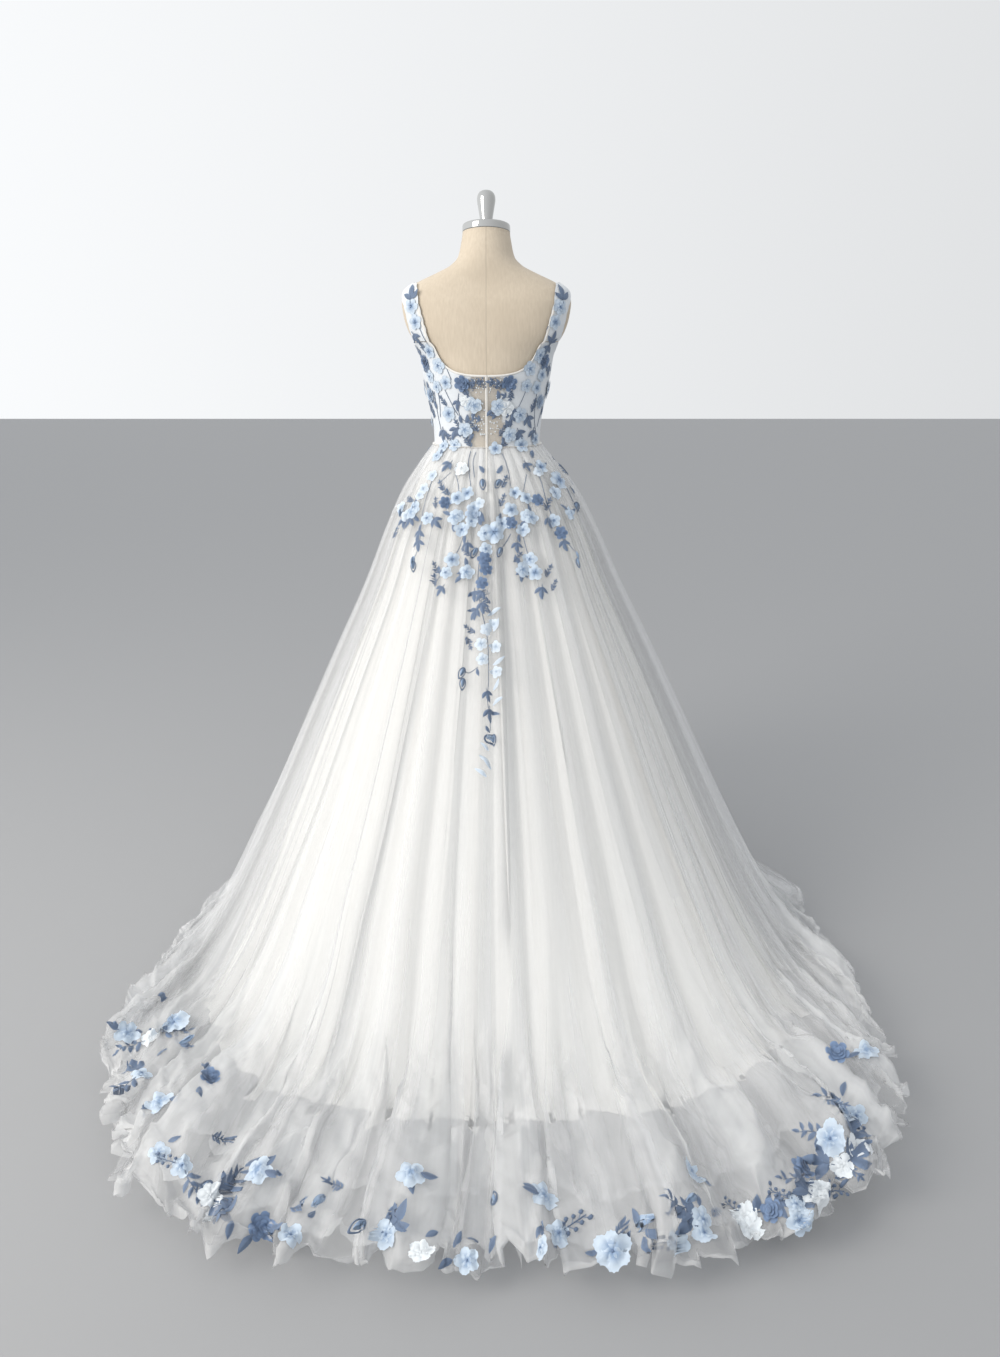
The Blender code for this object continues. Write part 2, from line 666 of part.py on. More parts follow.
def make_skirt():
    """The lining, the tulle under-skirt and the tulle over-skirt, each of three panels."""
    layout = skirt_folds()
    finishes = {"overskirt": TULLE, "underskirt": TULLE, "lining": SATIN}
    made = {}
    for layer in LAYERS:
        columns = layer_columns(layer, layout)
        names = [column[3] for column in columns]
        outer = []
        for row in range(layer.sections):
            outer.append([skirt_point(t, rise, depth, row, layer) for t, rise, depth, _ in columns])
        inner = []
        for points, directions in zip(outer, grid_normals(outer, closed=True)):
            inner.append([point - direction * CLOTH for point, direction in zip(points, directions)])
            for point in inner[-1]:
                point.z = max(point.z, 0.0)
        for point in inner[0]:
            point.z = WAIST_HEIGHT
        for panel in SKIRT_PANELS:
            guide = [panel_slice(line, names, panel.name) for line in outer]
            faces = [[list(line) for line in guide]]
            faces.append([panel_slice(line, names, panel.name) for line in inner])
            for face in faces:
                pull_seams(face, guide)
            name = f"{layer.name}_{panel.name}"
            wall(name, *faces, finishes[layer.name])
            made[name] = faces[0]
    return made


def flower_outline(flower):
    """The outline of five petals about the middle, with a leaf in some of the notches."""
    outline = []
    pitch = 360.0 / PETALS
    for k in range(PETALS):
        notch = k * pitch - pitch / 2 + flower.spin
        petal = k * pitch + flower.spin
        if k in flower.leaves:
            outline.append((notch - 13, 0.7 * flower.radius))
            outline.append((notch, flower.radius * LEAF_REACH))
            outline.append((notch + 13, 0.7 * flower.radius))
        else:
            outline.append((notch, 0.58 * flower.radius))
        outline += [(petal - 19, flower.radius), (petal + 19, flower.radius)]
    return outline


def cloth_height(below, spot, normal, offset):
    """How far the cloth lies above the plane through a spot, under a point of that plane."""
    hit = below.ray_cast(spot + offset + normal * CAST_REACH, -normal, 2 * CAST_REACH)[0]
    if hit is None:
        return None
    return (hit - spot - offset).dot(normal)


def make_flower(flower, spot, normal, below):
    """One raised flower that follows the cloth below its rim and clears it everywhere."""
    across = Vector((0, 0, 1)).cross(normal)
    across = across.normalized() if across.length > 0.2 else Vector((1, 0, 0))
    along = normal.cross(across).normalized()
    flat = []
    for angle, reach in flower_outline(flower):
        turn = math.radians(angle)
        flat.append(across * (reach * math.cos(turn)) + along * (reach * math.sin(turn)))
    middle_height = cloth_height(below, spot, normal, Vector((0, 0, 0))) or 0.0
    heights = []
    for offset in flat:
        height = cloth_height(below, spot, normal, offset)
        lowest = middle_height - PETAL_DROOP * offset.length
        heights.append(middle_height if height is None else max(height, lowest))
    count = len(flat)
    lift = 0.0
    for i in range(count):
        j = (i + 1) % count
        for side in range(8):
            rim = flat[i].lerp(flat[j], side / 8)
            rim_height = heights[i] + (heights[j] - heights[i]) * side / 8
            for step in range(17):
                height = cloth_height(below, spot, normal, rim * step / 16)
                if height is not None:
                    own = middle_height + (rim_height - middle_height) * step / 16
                    lift = max(lift, height - own)
    lift += APPLIQUE_LIFT
    places = [spot + p + normal * (height + lift) for p, height in zip(flat, heights)]
    work = bmesh.new()
    lower = [work.verts.new(place) for place in places]
    upper = [work.verts.new(place + normal * APPLIQUE_CLOTH) for place in places]
    foot = work.verts.new(spot + normal * (middle_height + lift))
    crown = work.verts.new(spot + normal * (middle_height + lift + FLOWER_RISE))
    for i in range(count):
        j = (i + 1) % count
        work.faces.new((lower[i], lower[j], upper[j], upper[i]))
        work.faces.new((upper[i], upper[j], crown))
        work.faces.new((lower[j], lower[i], foot))
    return add_object(f"flower_{flower.name}", mesh_from(flower.name, work), PETAL)


def cloth_below(starts):
    """The faces of every finished piece whose name starts so, as one tree to cast rays at."""
    points, faces = [], []
    for owner in PARTS.objects:
        if owner.name.startswith(starts):
            first = len(points)
            points += [vertex.co.copy() for vertex in owner.data.vertices]
            faces += [[first + i for i in face.vertices] for face in owner.data.polygons]
    return BVHTree.FromPolygons(points, faces)


def make_flowers(panels):
    """The thick flowers: on the bodice by turn and height, on the skirt by fold and section."""
    below = cloth_below(("bodice", "back_", "strap", "overskirt"))
    for flower in BODICE_FLOWERS:
        spot = worn_point(flower.turn, flower.place, BODICE_EASE + CLOTH)
        make_flower(flower, spot, form_normal(flower.turn, flower.place), below)
    for flower in SKIRT_FLOWERS:
        grid = panels[flower.carrier]
        column = int(flower.turn) * len(FOLD_SHAPE) + 1
        row = int(flower.place)
        spot = on_grid(grid, flower.place, column)
        across = grid[row][column + 2] - grid[row][column - 1]
        normal = across.cross(grid[row + 1][column] - grid[row][column]).normalized()
        make_flower(flower, spot, normal, below)


for leftover in list(bpy.data.objects):
    bpy.data.objects.remove(leftover)
PARTS = bpy.data.collections.new("wedding dress on a form")
bpy.context.scene.collection.children.link(PARTS)

LINEN = material("oat linen", (0.80, 0.73, 0.62), 0.85)
CHROME = material("polished metal", (0.80, 0.80, 0.80), 0.18, 1.0)
STEEL = material("satin steel", (0.62, 0.62, 0.62), 0.40, 1.0)
LACE = material("ivory lace ground", (0.90, 0.92, 0.93), 0.75)
TAPE = material("white tape", (0.93, 0.93, 0.91), 0.60)
TULLE = material("white tulle", (0.95, 0.96, 0.97), 0.70)
SATIN = material("ivory satin", (0.93, 0.91, 0.86), 0.45)
PETAL = material("pale blue petals", (0.62, 0.73, 0.84), 0.75)

make_form()
bodice = make_bodice()
make_straps()
make_bindings(bodice)
make_zip(bodice)
make_waist_tape()
make_flowers(make_skirt())
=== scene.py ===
"""The looks of a wedding dress with a train on a dress form: its cloth, flowers and studio.

Metres, +Z up. The wearer's front faces -Y, the train lies towards +Y and +X is the wearer's left.
"""

import math
import random
from collections import namedtuple

import bmesh
import bpy
import numpy as np
from bpy.props import FloatProperty, FloatVectorProperty, PointerProperty
from mathutils import Matrix, Vector
from mathutils.bvhtree import BVHTree


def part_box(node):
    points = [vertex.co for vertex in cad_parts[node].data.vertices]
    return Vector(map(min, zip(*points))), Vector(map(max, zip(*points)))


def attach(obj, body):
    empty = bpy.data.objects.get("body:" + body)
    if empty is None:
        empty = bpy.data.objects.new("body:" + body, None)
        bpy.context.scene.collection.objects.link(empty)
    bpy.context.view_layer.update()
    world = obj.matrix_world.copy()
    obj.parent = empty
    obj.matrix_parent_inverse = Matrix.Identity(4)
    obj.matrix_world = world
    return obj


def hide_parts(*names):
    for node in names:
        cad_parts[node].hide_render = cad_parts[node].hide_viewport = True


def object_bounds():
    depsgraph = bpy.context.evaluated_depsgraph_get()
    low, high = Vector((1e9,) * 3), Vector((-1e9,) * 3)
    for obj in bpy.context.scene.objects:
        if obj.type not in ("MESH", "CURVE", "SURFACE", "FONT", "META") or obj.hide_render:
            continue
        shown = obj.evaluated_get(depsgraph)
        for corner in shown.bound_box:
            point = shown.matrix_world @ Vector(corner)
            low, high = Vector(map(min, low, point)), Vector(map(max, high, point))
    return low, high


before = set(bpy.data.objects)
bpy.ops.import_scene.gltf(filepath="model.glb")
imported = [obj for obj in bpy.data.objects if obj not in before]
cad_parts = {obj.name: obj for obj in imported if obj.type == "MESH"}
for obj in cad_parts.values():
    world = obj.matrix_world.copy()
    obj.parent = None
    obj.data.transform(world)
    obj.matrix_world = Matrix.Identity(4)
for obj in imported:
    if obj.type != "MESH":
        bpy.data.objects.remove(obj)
CAD_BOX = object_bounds()

bl_info = {
    "name": "Wedding dress on a dress form",
    "version": (1, 0, 0),
    "blender": (4, 5, 0),
    "location": "3D View > Sidebar > Dress",
    "description": "Builds the cloth, flowers and form of a wedding dress over its solid parts",
    "category": "Object",
}

# Sizes shared with the solid parts
WAIST_HEIGHT = 1.0955
BODICE_FOOT = 1.0973
BODICE_OUT = 0.0044
STRAP_OUT = 0.0047
NECK_TILT = math.radians(9.0)
SIDE_SEAM_TURN = 96.0
BACK_FOLDS = 10
FRONT_FOLDS = 16
FOLD_SEED = 7
HEM_HEIGHT = 0.0012
LAST_SECTION = 11

# The cloth may reach this far past the box of the solid parts.
BOX_REACH = 0.004
# The neck leans from this height, fully so after this much more.
NECK_LEAN_START = 1.44
NECK_LEAN_REACH = 0.07
# Half the width of the form's centre seam, and where it has faded out.
CENTRE_SEAM_HALF = 0.0005
CENTRE_SEAM_FADE = 0.0011
# The zip's cord is narrow below this height, and lies on the skirt below the second one.
ZIP_NARROW_BELOW = 1.0975
ZIP_ON_SKIRT_BELOW = 1.0985
ZIP_TOOTH_PITCH = 0.0024
# The waist's radius at the centre back, which curves the zip and measures the scoop's edge.
BACK_RADIUS = 0.13

# The form from its lower edge to the top of its neck: height, half width, half depth, how far
# back the middle of the section lies, and how square the section is (2 is an ellipse).
FormSection = namedtuple("FormSection", "height half_width half_depth middle_y square")
FORM_SECTIONS = (
    FormSection(0.800, 0.158, 0.110, 0.006, 2.2),
    FormSection(0.890, 0.166, 0.117, 0.007, 2.2),
    FormSection(0.985, 0.152, 0.107, 0.004, 2.2),
    FormSection(1.060, 0.1245, 0.0915, -0.001, 2.1),
    FormSection(1.098, 0.1175, 0.0862, -0.002, 2.1),
    FormSection(1.150, 0.121, 0.091, -0.005, 2.1),
    FormSection(1.205, 0.132, 0.104, -0.011, 2.1),
    FormSection(1.255, 0.142, 0.115, -0.015, 2.1),
    FormSection(1.290, 0.147, 0.110, -0.011, 2.2),
    FormSection(1.312, 0.156, 0.104, -0.006, 2.3),
    FormSection(1.335, 0.172, 0.099, -0.002, 2.4),
    FormSection(1.370, 0.184, 0.091, 0.002, 2.4),
    FormSection(1.402, 0.188, 0.080, 0.006, 2.4),
    FormSection(1.424, 0.180, 0.068, 0.010, 2.3),
    FormSection(1.442, 0.156, 0.061, 0.012, 2.1),
    FormSection(1.462, 0.112, 0.057, 0.013, 2.0),
    FormSection(1.478, 0.079, 0.056, 0.012, 2.0),
    FormSection(1.496, 0.062, 0.055, 0.008, 2.0),
    FormSection(1.525, 0.055, 0.053, 0.000, 2.0),
    FormSection(1.546, 0.052, 0.051, -0.005, 2.0),
)

# The top edge of the bodice, by the turn from the centre back in degrees.
TopEdge = namedtuple("TopEdge", "turn height")
TOP_EDGE = (
    TopEdge(0, 1.252),
    TopEdge(16, 1.253),
    TopEdge(29, 1.257),
    TopEdge(39, 1.266),
    TopEdge(49, 1.286),
    TopEdge(58, 1.3215),
    TopEdge(76, 1.3225),
    TopEdge(84, 1.306),
    TopEdge(92, 1.296),
    TopEdge(104, 1.300),
    TopEdge(114, 1.325),
    TopEdge(130, 1.328),
    TopEdge(140, 1.306),
    TopEdge(158, 1.268),
    TopEdge(180, 1.240),
)

PanelCut = namedtuple("PanelCut", "name start end")
BODICE_PANELS = (
    PanelCut("bodice_back_left", 0.0, 52.5),
    PanelCut("bodice_side_left", 52.5, 127.5),
    PanelCut("bodice_front", 127.5, 232.5),
    PanelCut("bodice_side_right", 232.5, 307.5),
    PanelCut("bodice_back_right", 307.5, 360.0),
)

# The left strap from its back end to its front end, by the turn and height of both its edges.
StrapStation = namedtuple("StrapStation", "inner_turn inner_height outer_turn outer_height")
STRAP_STATIONS = (
    StrapStation(58.5, 1.3235, 75.5, 1.3243),
    StrapStation(60.5, 1.345, 75.0, 1.345),
    StrapStation(63.5, 1.370, 76.0, 1.370),
    StrapStation(67.5, 1.396, 78.5, 1.394),
    StrapStation(72.5, 1.420, 82.5, 1.411),
    StrapStation(81.0, 1.4380, 87.0, 1.4205),
    StrapStation(92.0, 1.4405, 92.0, 1.4225),
    StrapStation(104.0, 1.4365, 98.0, 1.4185),
    StrapStation(111.0, 1.418, 101.5, 1.406),
    StrapStation(117.0, 1.390, 106.0, 1.388),
    StrapStation(122.5, 1.360, 110.0, 1.360),
    StrapStation(128.5, 1.3300, 114.5, 1.3270),
)

# The over-skirt from the waist to the hem: height, half width, how far its middle lies to the
# wearer's left, where its back, its front and its widest part lie on Y, how square its back and
# its front are, half the depth of a fold and how far a crest lifts off the floor.
SkirtSection = namedtuple(
    "SkirtSection",
    "height half_width middle_x back_y front_y wide_y back_square front_square fold lift",
)
SKIRT_SECTIONS = (
    SkirtSection(WAIST_HEIGHT, 0.1258, 0.000, 0.0923, -0.0963, -0.002, 2.1, 2.1, 0.0005, 0.0),
    SkirtSection(1.052, 0.159, -0.002, 0.128, -0.126, 0.000, 2.1, 2.1, 0.0042, 0.0),
    SkirtSection(0.995, 0.199, -0.005, 0.168, -0.156, 0.002, 2.1, 2.1, 0.0075, 0.0),
    SkirtSection(0.910, 0.241, -0.008, 0.216, -0.190, 0.010, 2.1, 2.1, 0.0095, 0.0),
    SkirtSection(0.780, 0.296, -0.011, 0.285, -0.235, 0.030, 2.1, 2.1, 0.012, 0.0),
    SkirtSection(0.610, 0.378, -0.014, 0.385, -0.292, 0.065, 2.1, 2.1, 0.015, 0.0),
    SkirtSection(0.430, 0.461, -0.016, 0.510, -0.348, 0.120, 2.1, 2.0, 0.018, 0.0),
    SkirtSection(0.260, 0.536, -0.018, 0.655, -0.402, 0.200, 2.2, 2.0, 0.022, 0.0),
    SkirtSection(0.125, 0.600, -0.022, 0.815, -0.440, 0.320, 2.35, 2.0, 0.024, 0.004),
    SkirtSection(0.045, 0.650, -0.026, 0.965, -0.464, 0.430, 2.55, 1.95, 0.019, 0.014),
    SkirtSection(0.013, 0.696, -0.030, 1.125, -0.478, 0.530, 2.7, 1.95, 0.014, 0.028),
    SkirtSection(HEM_HEIGHT, 0.736, -0.032, 1.285, -0.492, 0.610, 2.8, 1.95, 0.012, 0.034),
)

# Each layer of the skirt: the section that its hem reaches, the share of the shared folds that
# it has, how many fine folds it has, how deep they are, and the columns and rows of its mesh.
# The insets say how far under the over-skirt it lies, at even steps from the waist to its hem.
SkirtLayer = namedtuple(
    "SkirtLayer", "name reach fold_share fine_folds fine_depth seed columns rows insets"
)
OVER = SkirtLayer("tulle_over", 11.0, 0.75, 150, 1.0, 21, 960, 140, (0.0, 0.0))
MIDDLE = SkirtLayer(
    "tulle_middle", 10.55, 0.6, 120, 0.8, 33, 720, 104, (0.001, 0.004, 0.006, 0.010, 0.012, 0.008)
)
UNDER = SkirtLayer(
    "tulle_under", 10.0, 0.5, 90, 0.6, 47, 520, 90, (0.002, 0.010, 0.016, 0.021, 0.024, 0.016)
)
LINING = SkirtLayer(
    "lining_skirt", 9.0, 0.5, 30, 0.35, 59, 300, 72, (0.0044, 0.023, 0.035, 0.045, 0.052, 0.040)
)
# The layers of tulle from the inside out: the solid nodes that each stands for, its gap to the
# floor, and the seed, the first section and the height of its creases.
TulleHang = namedtuple("TulleHang", "layer nodes gap seed start height")
TULLE = (
    TulleHang(UNDER, "underskirt", 0.0010, 61, 7.6, 0.020),
    TulleHang(MIDDLE, None, 0.0016, 62, 7.8, 0.036),
    TulleHang(OVER, "overskirt", 0.0022, 63, 7.7, 0.056),
)
# The depth of a full fine fold from the waist to the hem, at even steps of the sections.
FINE_DEPTHS = (0.0004, 0.0016, 0.0026, 0.0036, 0.0052, 0.0090, 0.0150, 0.0180)
# Corners where the hem runs out in a point or is drawn in: how many, and how far.
HEM_POINTS = 110
HEM_POINT_REACH = 0.045
PUFF_HEIGHT = 0.045

# Where motifs lie at the back, seen from the camera: x and height on the plane of the pole.
BACK_MOTIFS = {
    "flower": (
        (0.167, 1.395), (0.159, 1.362), (0.129, 1.300), (0.109, 1.269), (0.093, 1.232),
        (0.113, 1.223), (0.087, 1.163), (0.037, 1.184), (0.074, 1.091), (0.116, 1.065),
        (0.024, 1.087), (-0.019, 1.082), (-0.078, 1.091), (-0.075, 1.160), (-0.090, 1.225),
        (-0.113, 1.221), (-0.097, 1.262), (-0.119, 1.292), (-0.153, 1.362), (-0.163, 1.393),
        (-0.027, 1.175), (-0.124, 1.249), (0.128, 1.245), (-0.110, 1.105), (-0.156, 0.979),
        (0.047, 0.979), (0.072, 0.968), (-0.064, 0.979), (-0.092, 0.968), (0.034, 0.942),
        (0.070, 0.927), (0.037, 0.912), (0.059, 0.892), (-0.056, 0.940), (-0.093, 0.927),
        (-0.085, 0.892), (-0.034, 0.906), (0.006, 0.883), (0.086, 0.820), (0.101, 0.788),
        (-0.102, 0.820), (-0.115, 0.788), (-0.158, 0.914), (0.143, 0.920), (0.100, 1.088),
        (-0.125, 1.040), (0.004, 0.846), (0.174, 0.945),
    ),
    "large_flower": ((-0.167, 1.009), (-0.016, 0.886)),
    "faint_flower": (
        (0.004, 0.645), (0.014, 0.568), (0.017, 0.607), (-0.015, 0.659), (-0.022, 0.534),
        (0.128, 1.020), (0.150, 0.990), (-0.120, 1.030), (0.202, 0.945), (0.020, 0.955),
        (0.190, 0.925), (-0.020, 0.600), (0.160, 0.975),
    ),
    "white_flower": ((0.060, 1.036), (-0.045, 1.175), (0.048, 1.190)),
    "rose": (
        (0.140, 1.278), (-0.130, 1.278), (0.100, 0.957), (-0.120, 0.964), (-0.056, 0.909),
        (0.004, 0.797), (0.014, 0.762), (-0.176, 0.885), (0.008, 0.822),
    ),
    "pale_rose": ((0.034, 0.930), (0.128, 1.205), (-0.120, 1.190)),
    "large_trio": ((0.168, 1.418), (-0.168, 1.417)),
    "small_trio": (
        (0.044, 1.226), (0.032, 1.230), (0.018, 1.233), (-0.010, 1.232), (-0.024, 1.229),
        (-0.036, 1.226), (0.046, 1.205), (-0.040, 1.202), (0.020, 1.150), (-0.016, 1.158),
    ),
    "trio": (
        (0.160, 1.330), (0.152, 1.298), (-0.146, 1.324),
        (-0.136, 1.305), (0.101, 1.119), (0.072, 1.123), (-0.075, 1.118), (-0.106, 1.118),
        (0.066, 1.186), (-0.057, 1.166), (-0.095, 1.150), (0.129, 1.208), (-0.136, 1.199),
        (0.197, 0.912), (0.124, 0.914), (0.164, 0.883), (0.165, 0.860), (0.113, 0.747),
        (0.063, 0.785), (-0.085, 0.785), (-0.132, 0.744), (0.030, 0.690), (0.032, 0.735),
        (0.048, 0.855), (-0.071, 0.855), (-0.184, 0.860), (-0.145, 0.914), (0.091, 1.045),
        (-0.092, 1.045), (0.002, 0.475), (-0.003, 0.424), (0.185, 0.915), (0.135, 1.160),
        (-0.132, 1.150), (0.136, 1.262), (-0.140, 1.262), (0.016, 0.735), (0.014, 0.705),
    ),
    "dark_leaf": (
        (0.014, 0.926), (-0.028, 0.923), (0.020, 0.915), (-0.034, 0.912), (0.013, 1.034),
        (-0.028, 1.034), (0.107, 1.075), (-0.105, 1.070), (-0.137, 1.225), (0.134, 1.225),
    ),
    "leaf": (
        (0.128, 1.178), (-0.126, 1.170), (0.060, 1.151), (-0.055, 1.144), (0.124, 1.100),
        (-0.125, 1.095), (0.035, 1.110), (-0.038, 1.105), (0.054, 0.870), (-0.076, 0.872),
        (0.025, 0.534), (0.002, 0.380), (0.030, 0.680), (-0.188, 0.850), (0.160, 0.898),
    ),
    "faint_leaf": (
        (-0.025, 0.563), (-0.020, 0.499), (-0.025, 0.456), (0.009, 0.330), (0.004, 0.283),
        (0.019, 0.257), (-0.018, 0.690), (-0.020, 0.655), (0.012, 0.300),
    ),
    "sprig": (
        (0.126, 0.797), (0.127, 0.767), (0.108, 0.995), (0.123, 0.956), (-0.140, 0.951),
        (-0.160, 0.756), (-0.145, 0.791), (0.051, 0.837), (-0.071, 0.826), (0.045, 0.642),
        (0.045, 0.610), (0.007, 0.720), (0.004, 0.696), (0.054, 1.216), (0.030, 1.133),
        (-0.034, 1.124), (0.065, 1.133), (0.045, 1.100), (-0.041, 1.097), (-0.034, 0.962),
        (-0.039, 1.006), (0.185, 0.965), (0.100, 0.985), (-0.055, 1.200), (0.100, 1.190),
        (-0.105, 1.180), (0.145, 1.310), (0.088, 1.110),
    ),
    "berries": (
        (0.041, 1.227), (0.023, 1.234), (-0.013, 1.232), (-0.025, 1.227), (0.033, 1.224),
        (0.010, 1.230), (-0.034, 1.224), (0.050, 1.110), (-0.050, 1.140), (0.006, 0.740),
    ),
    "bud": ((0.205, 0.935), (0.179, 0.818), (-0.214, 0.832), (0.184, 0.935)),
    "open_bud": (
        (0.011, 1.003), (-0.026, 1.003), (-0.210, 0.948), (-0.030, 0.841), (0.030, 0.839),
        (0.065, 0.534), (0.064, 0.505), (-0.015, 0.353), (-0.218, 0.815), (0.179, 0.806),
    ),
}

# Where motifs lie along the hem of the train: x and y on the floor.
HEM_MOTIFS = {
    "flower": (
        (0.546, 1.054), (0.500, 1.080), (0.293, 1.218), (0.143, 1.215), (0.018, 1.262),
        (-0.090, 1.268), (-0.094, 1.240), (-0.119, 1.214), (-0.346, 1.188), (-0.303, 1.230),
        (-0.344, 1.215), (-0.496, 1.190), (-0.501, 1.160), (-0.660, 0.966), (0.640, 0.860),
    ),
    "large_flower": ((0.622, 0.714), (-0.200, 1.245), (-0.600, 1.020)),
    "white_flower": (
        (0.430, 1.165), (0.437, 1.140), (0.089, 1.250), (-0.413, 1.205), (-0.416, 1.180),
        (-0.546, 1.130), (-0.532, 1.150), (-0.634, 1.040), (-0.599, 1.080), (0.655, 0.760),
    ),
    "rose": ((0.511, 0.869), (0.342, 1.200), (-0.459, 1.170), (-0.533, 1.083), (-0.680, 0.800)),
    "leaf": (
        (0.663, 0.630), (0.614, 0.789), (0.593, 0.777), (0.523, 0.893), (0.539, 1.027),
        (0.457, 1.151), (0.433, 1.142), (0.404, 1.175), (0.388, 1.190), (0.411, 1.195),
        (0.350, 1.194), (0.331, 1.203), (0.326, 1.213), (0.273, 1.183), (0.066, 1.211),
        (0.041, 1.240), (0.042, 1.260), (0.004, 1.231), (-0.025, 1.218), (-0.087, 1.224),
        (-0.158, 1.250), (-0.244, 1.200), (-0.252, 1.220), (-0.273, 1.205), (-0.298, 1.213),
        (-0.346, 1.163), (-0.576, 1.100), (-0.640, 1.000), (-0.670, 0.880),
    ),
    "dark_leaf": ((-0.373, 1.178), (0.350, 1.215), (-0.470, 1.150), (0.520, 0.850)),
    "sprig": (
        (0.300, 1.169), (0.135, 1.160), (-0.133, 1.192), (-0.602, 1.060), (0.224, 1.128),
        (-0.227, 1.235), (-0.620, 0.930), (0.470, 1.010),
    ),
    "bud": ((0.571, 0.765), (0.270, 1.164), (-0.273, 1.175), (-0.345, 1.142)),
    "open_bud": ((0.441, 1.111), (-0.022, 1.160), (0.180, 1.190)),
}

# Each sheet's cut in metres: its greatest width and length, and the area of what shows.
Cut = namedtuple("Cut", "width length area")

# Embroidered stems on the back, on the same plane as the motifs: from one end to the other.
STEMS = (
    ((0.120, 1.212), (0.116, 1.181), (0.110, 1.146), (0.105, 1.122)),
    ((0.112, 1.212), (0.108, 1.186), (0.107, 1.155)),
    ((0.096, 1.216), (0.086, 1.195), (0.073, 1.170), (0.066, 1.159)),
    ((0.150, 1.349), (0.143, 1.332), (0.133, 1.315)),
    ((0.098, 1.279), (0.090, 1.260), (0.081, 1.238)),
    ((-0.090, 1.216), (-0.081, 1.195), (-0.072, 1.175), (-0.068, 1.159)),
    ((-0.114, 1.208), (-0.110, 1.181), (-0.109, 1.150), (-0.112, 1.122)),
    ((-0.130, 1.199), (-0.126, 1.177), (-0.119, 1.150), (-0.115, 1.133)),
    ((-0.138, 1.353), (-0.129, 1.332), (-0.119, 1.307)),
    ((0.064, 1.208), (0.067, 1.186), (0.063, 1.159), (0.048, 1.144)),
    ((-0.050, 1.208), (-0.054, 1.186), (-0.055, 1.159), (-0.045, 1.137)),
    ((0.038, 1.077), (0.044, 1.050), (0.041, 1.017), (0.038, 0.993)),
    ((0.026, 1.075), (0.033, 1.050), (0.030, 1.017)),
    ((-0.034, 1.072), (-0.044, 1.050), (-0.051, 1.023), (-0.054, 0.995)),
    ((0.074, 1.023), (0.069, 1.006), (0.067, 0.984)),
    ((0.085, 1.028), (0.100, 1.015), (0.116, 1.001)),
    ((0.127, 1.017), (0.144, 0.968), (0.157, 0.912), (0.163, 0.860), (0.177, 0.823)),
    ((0.057, 0.877), (0.071, 0.843), (0.098, 0.803), (0.124, 0.767)),
    ((-0.056, 0.883), (-0.045, 0.863), (-0.034, 0.849)),
    ((-0.086, 0.877), (-0.093, 0.849), (-0.103, 0.820), (-0.125, 0.791)),
    (
        (0.020, 0.814), (0.024, 0.756), (0.018, 0.708), (0.007, 0.654), (0.000, 0.599),
        (-0.001, 0.525), (0.002, 0.462), (-0.003, 0.411), (-0.005, 0.375),
    ),
    ((-0.106, 1.045), (-0.125, 1.012), (-0.140, 0.962), (-0.163, 0.906), (-0.188, 0.866),
     (-0.213, 0.837)),
    ((-0.092, 1.023), (-0.089, 1.004), (-0.084, 0.983)),
    ((-0.172, 1.017), (-0.190, 0.987), (-0.204, 0.959)),
    ((0.210, 0.945), (0.199, 0.934), (0.194, 0.914)),
    ((0.066, 0.544), (0.049, 0.531), (0.025, 0.547)),
)
# Motifs on the sides and the front, from a ray at each turn towards an upright line: the first,
# last and step of the turns, how far a turn strays, the line's place, the heights, the kinds,
# how far a motif turns and its scale.
FrontBand = namedtuple("FrontBand", "turns stray line low high kinds swing scale")
FRONT_BANDS = (
    FrontBand(
        (118.0, 243.0, 3.4), 1.2, (-0.03, 0.25), 0.05, 0.17,
        ("flower", "trio", "leaf", "white_flower", "sprig", "rose", "bud", "berries"), 3, 1.15,
    ),
    FrontBand(
        (60.0, 301.0, 7.5), 3, (0, 0), 0.90, 1.24,
        ("flower", "leaf", "leaf", "sprig", "white_flower"), 1.4, 1.0,
    ),
)

# The solid flowers whose places the tables above already give.
PLACED_BY_TABLE = ("flower_vine_top", "flower_back_upper_left", "flower_back_upper_right")
STEM_WIDTH = 0.0016
MOTIF_SEED = 5
CAMERA_PLACE = Vector((-0.03, 2.42, 1.35))
CAMERA_PITCH = math.radians(19.0)
CAMERA_LENS = 27.03


class FormLooks(bpy.types.PropertyGroup):
    """Colours and thread pitch of the padded form's linen cover"""

    cover: FloatVectorProperty(
        name="Cover", description="Linen of the padded form", subtype="COLOR",
        min=0, max=1, default=(0.72, 0.625, 0.50),
    )
    cover_slub: FloatVectorProperty(
        name="Cover slubs", description="Darker threads of the linen", subtype="COLOR",
        min=0, max=1, default=(0.60, 0.51, 0.395),
    )
    thread_pitch: FloatProperty(
        name="Thread pitch", description="Distance between the linen's threads",
        unit="LENGTH", default=0.0011, min=0.0003,
    )


class SkirtLooks(bpy.types.PropertyGroup):
    """Colours and cover of the skirt's layers"""

    tulle: FloatVectorProperty(
        name="Tulle", description="Net of the outer layers", subtype="COLOR",
        min=0, max=1, default=(0.93, 0.94, 0.95),
    )
    lining: FloatVectorProperty(
        name="Lining", description="Satin under the tulle", subtype="COLOR",
        min=0, max=1, default=(0.91, 0.90, 0.87),
    )
    least_cover: FloatProperty(
        name="Least cover", description="Share of light that one layer stops where it is thin",
        subtype="FACTOR", default=0.08, min=0, max=1,
    )
    most_cover: FloatProperty(
        name="Most cover", description="Share of light that one layer stops where it is dense",
        subtype="FACTOR", default=0.45, min=0, max=1,
    )


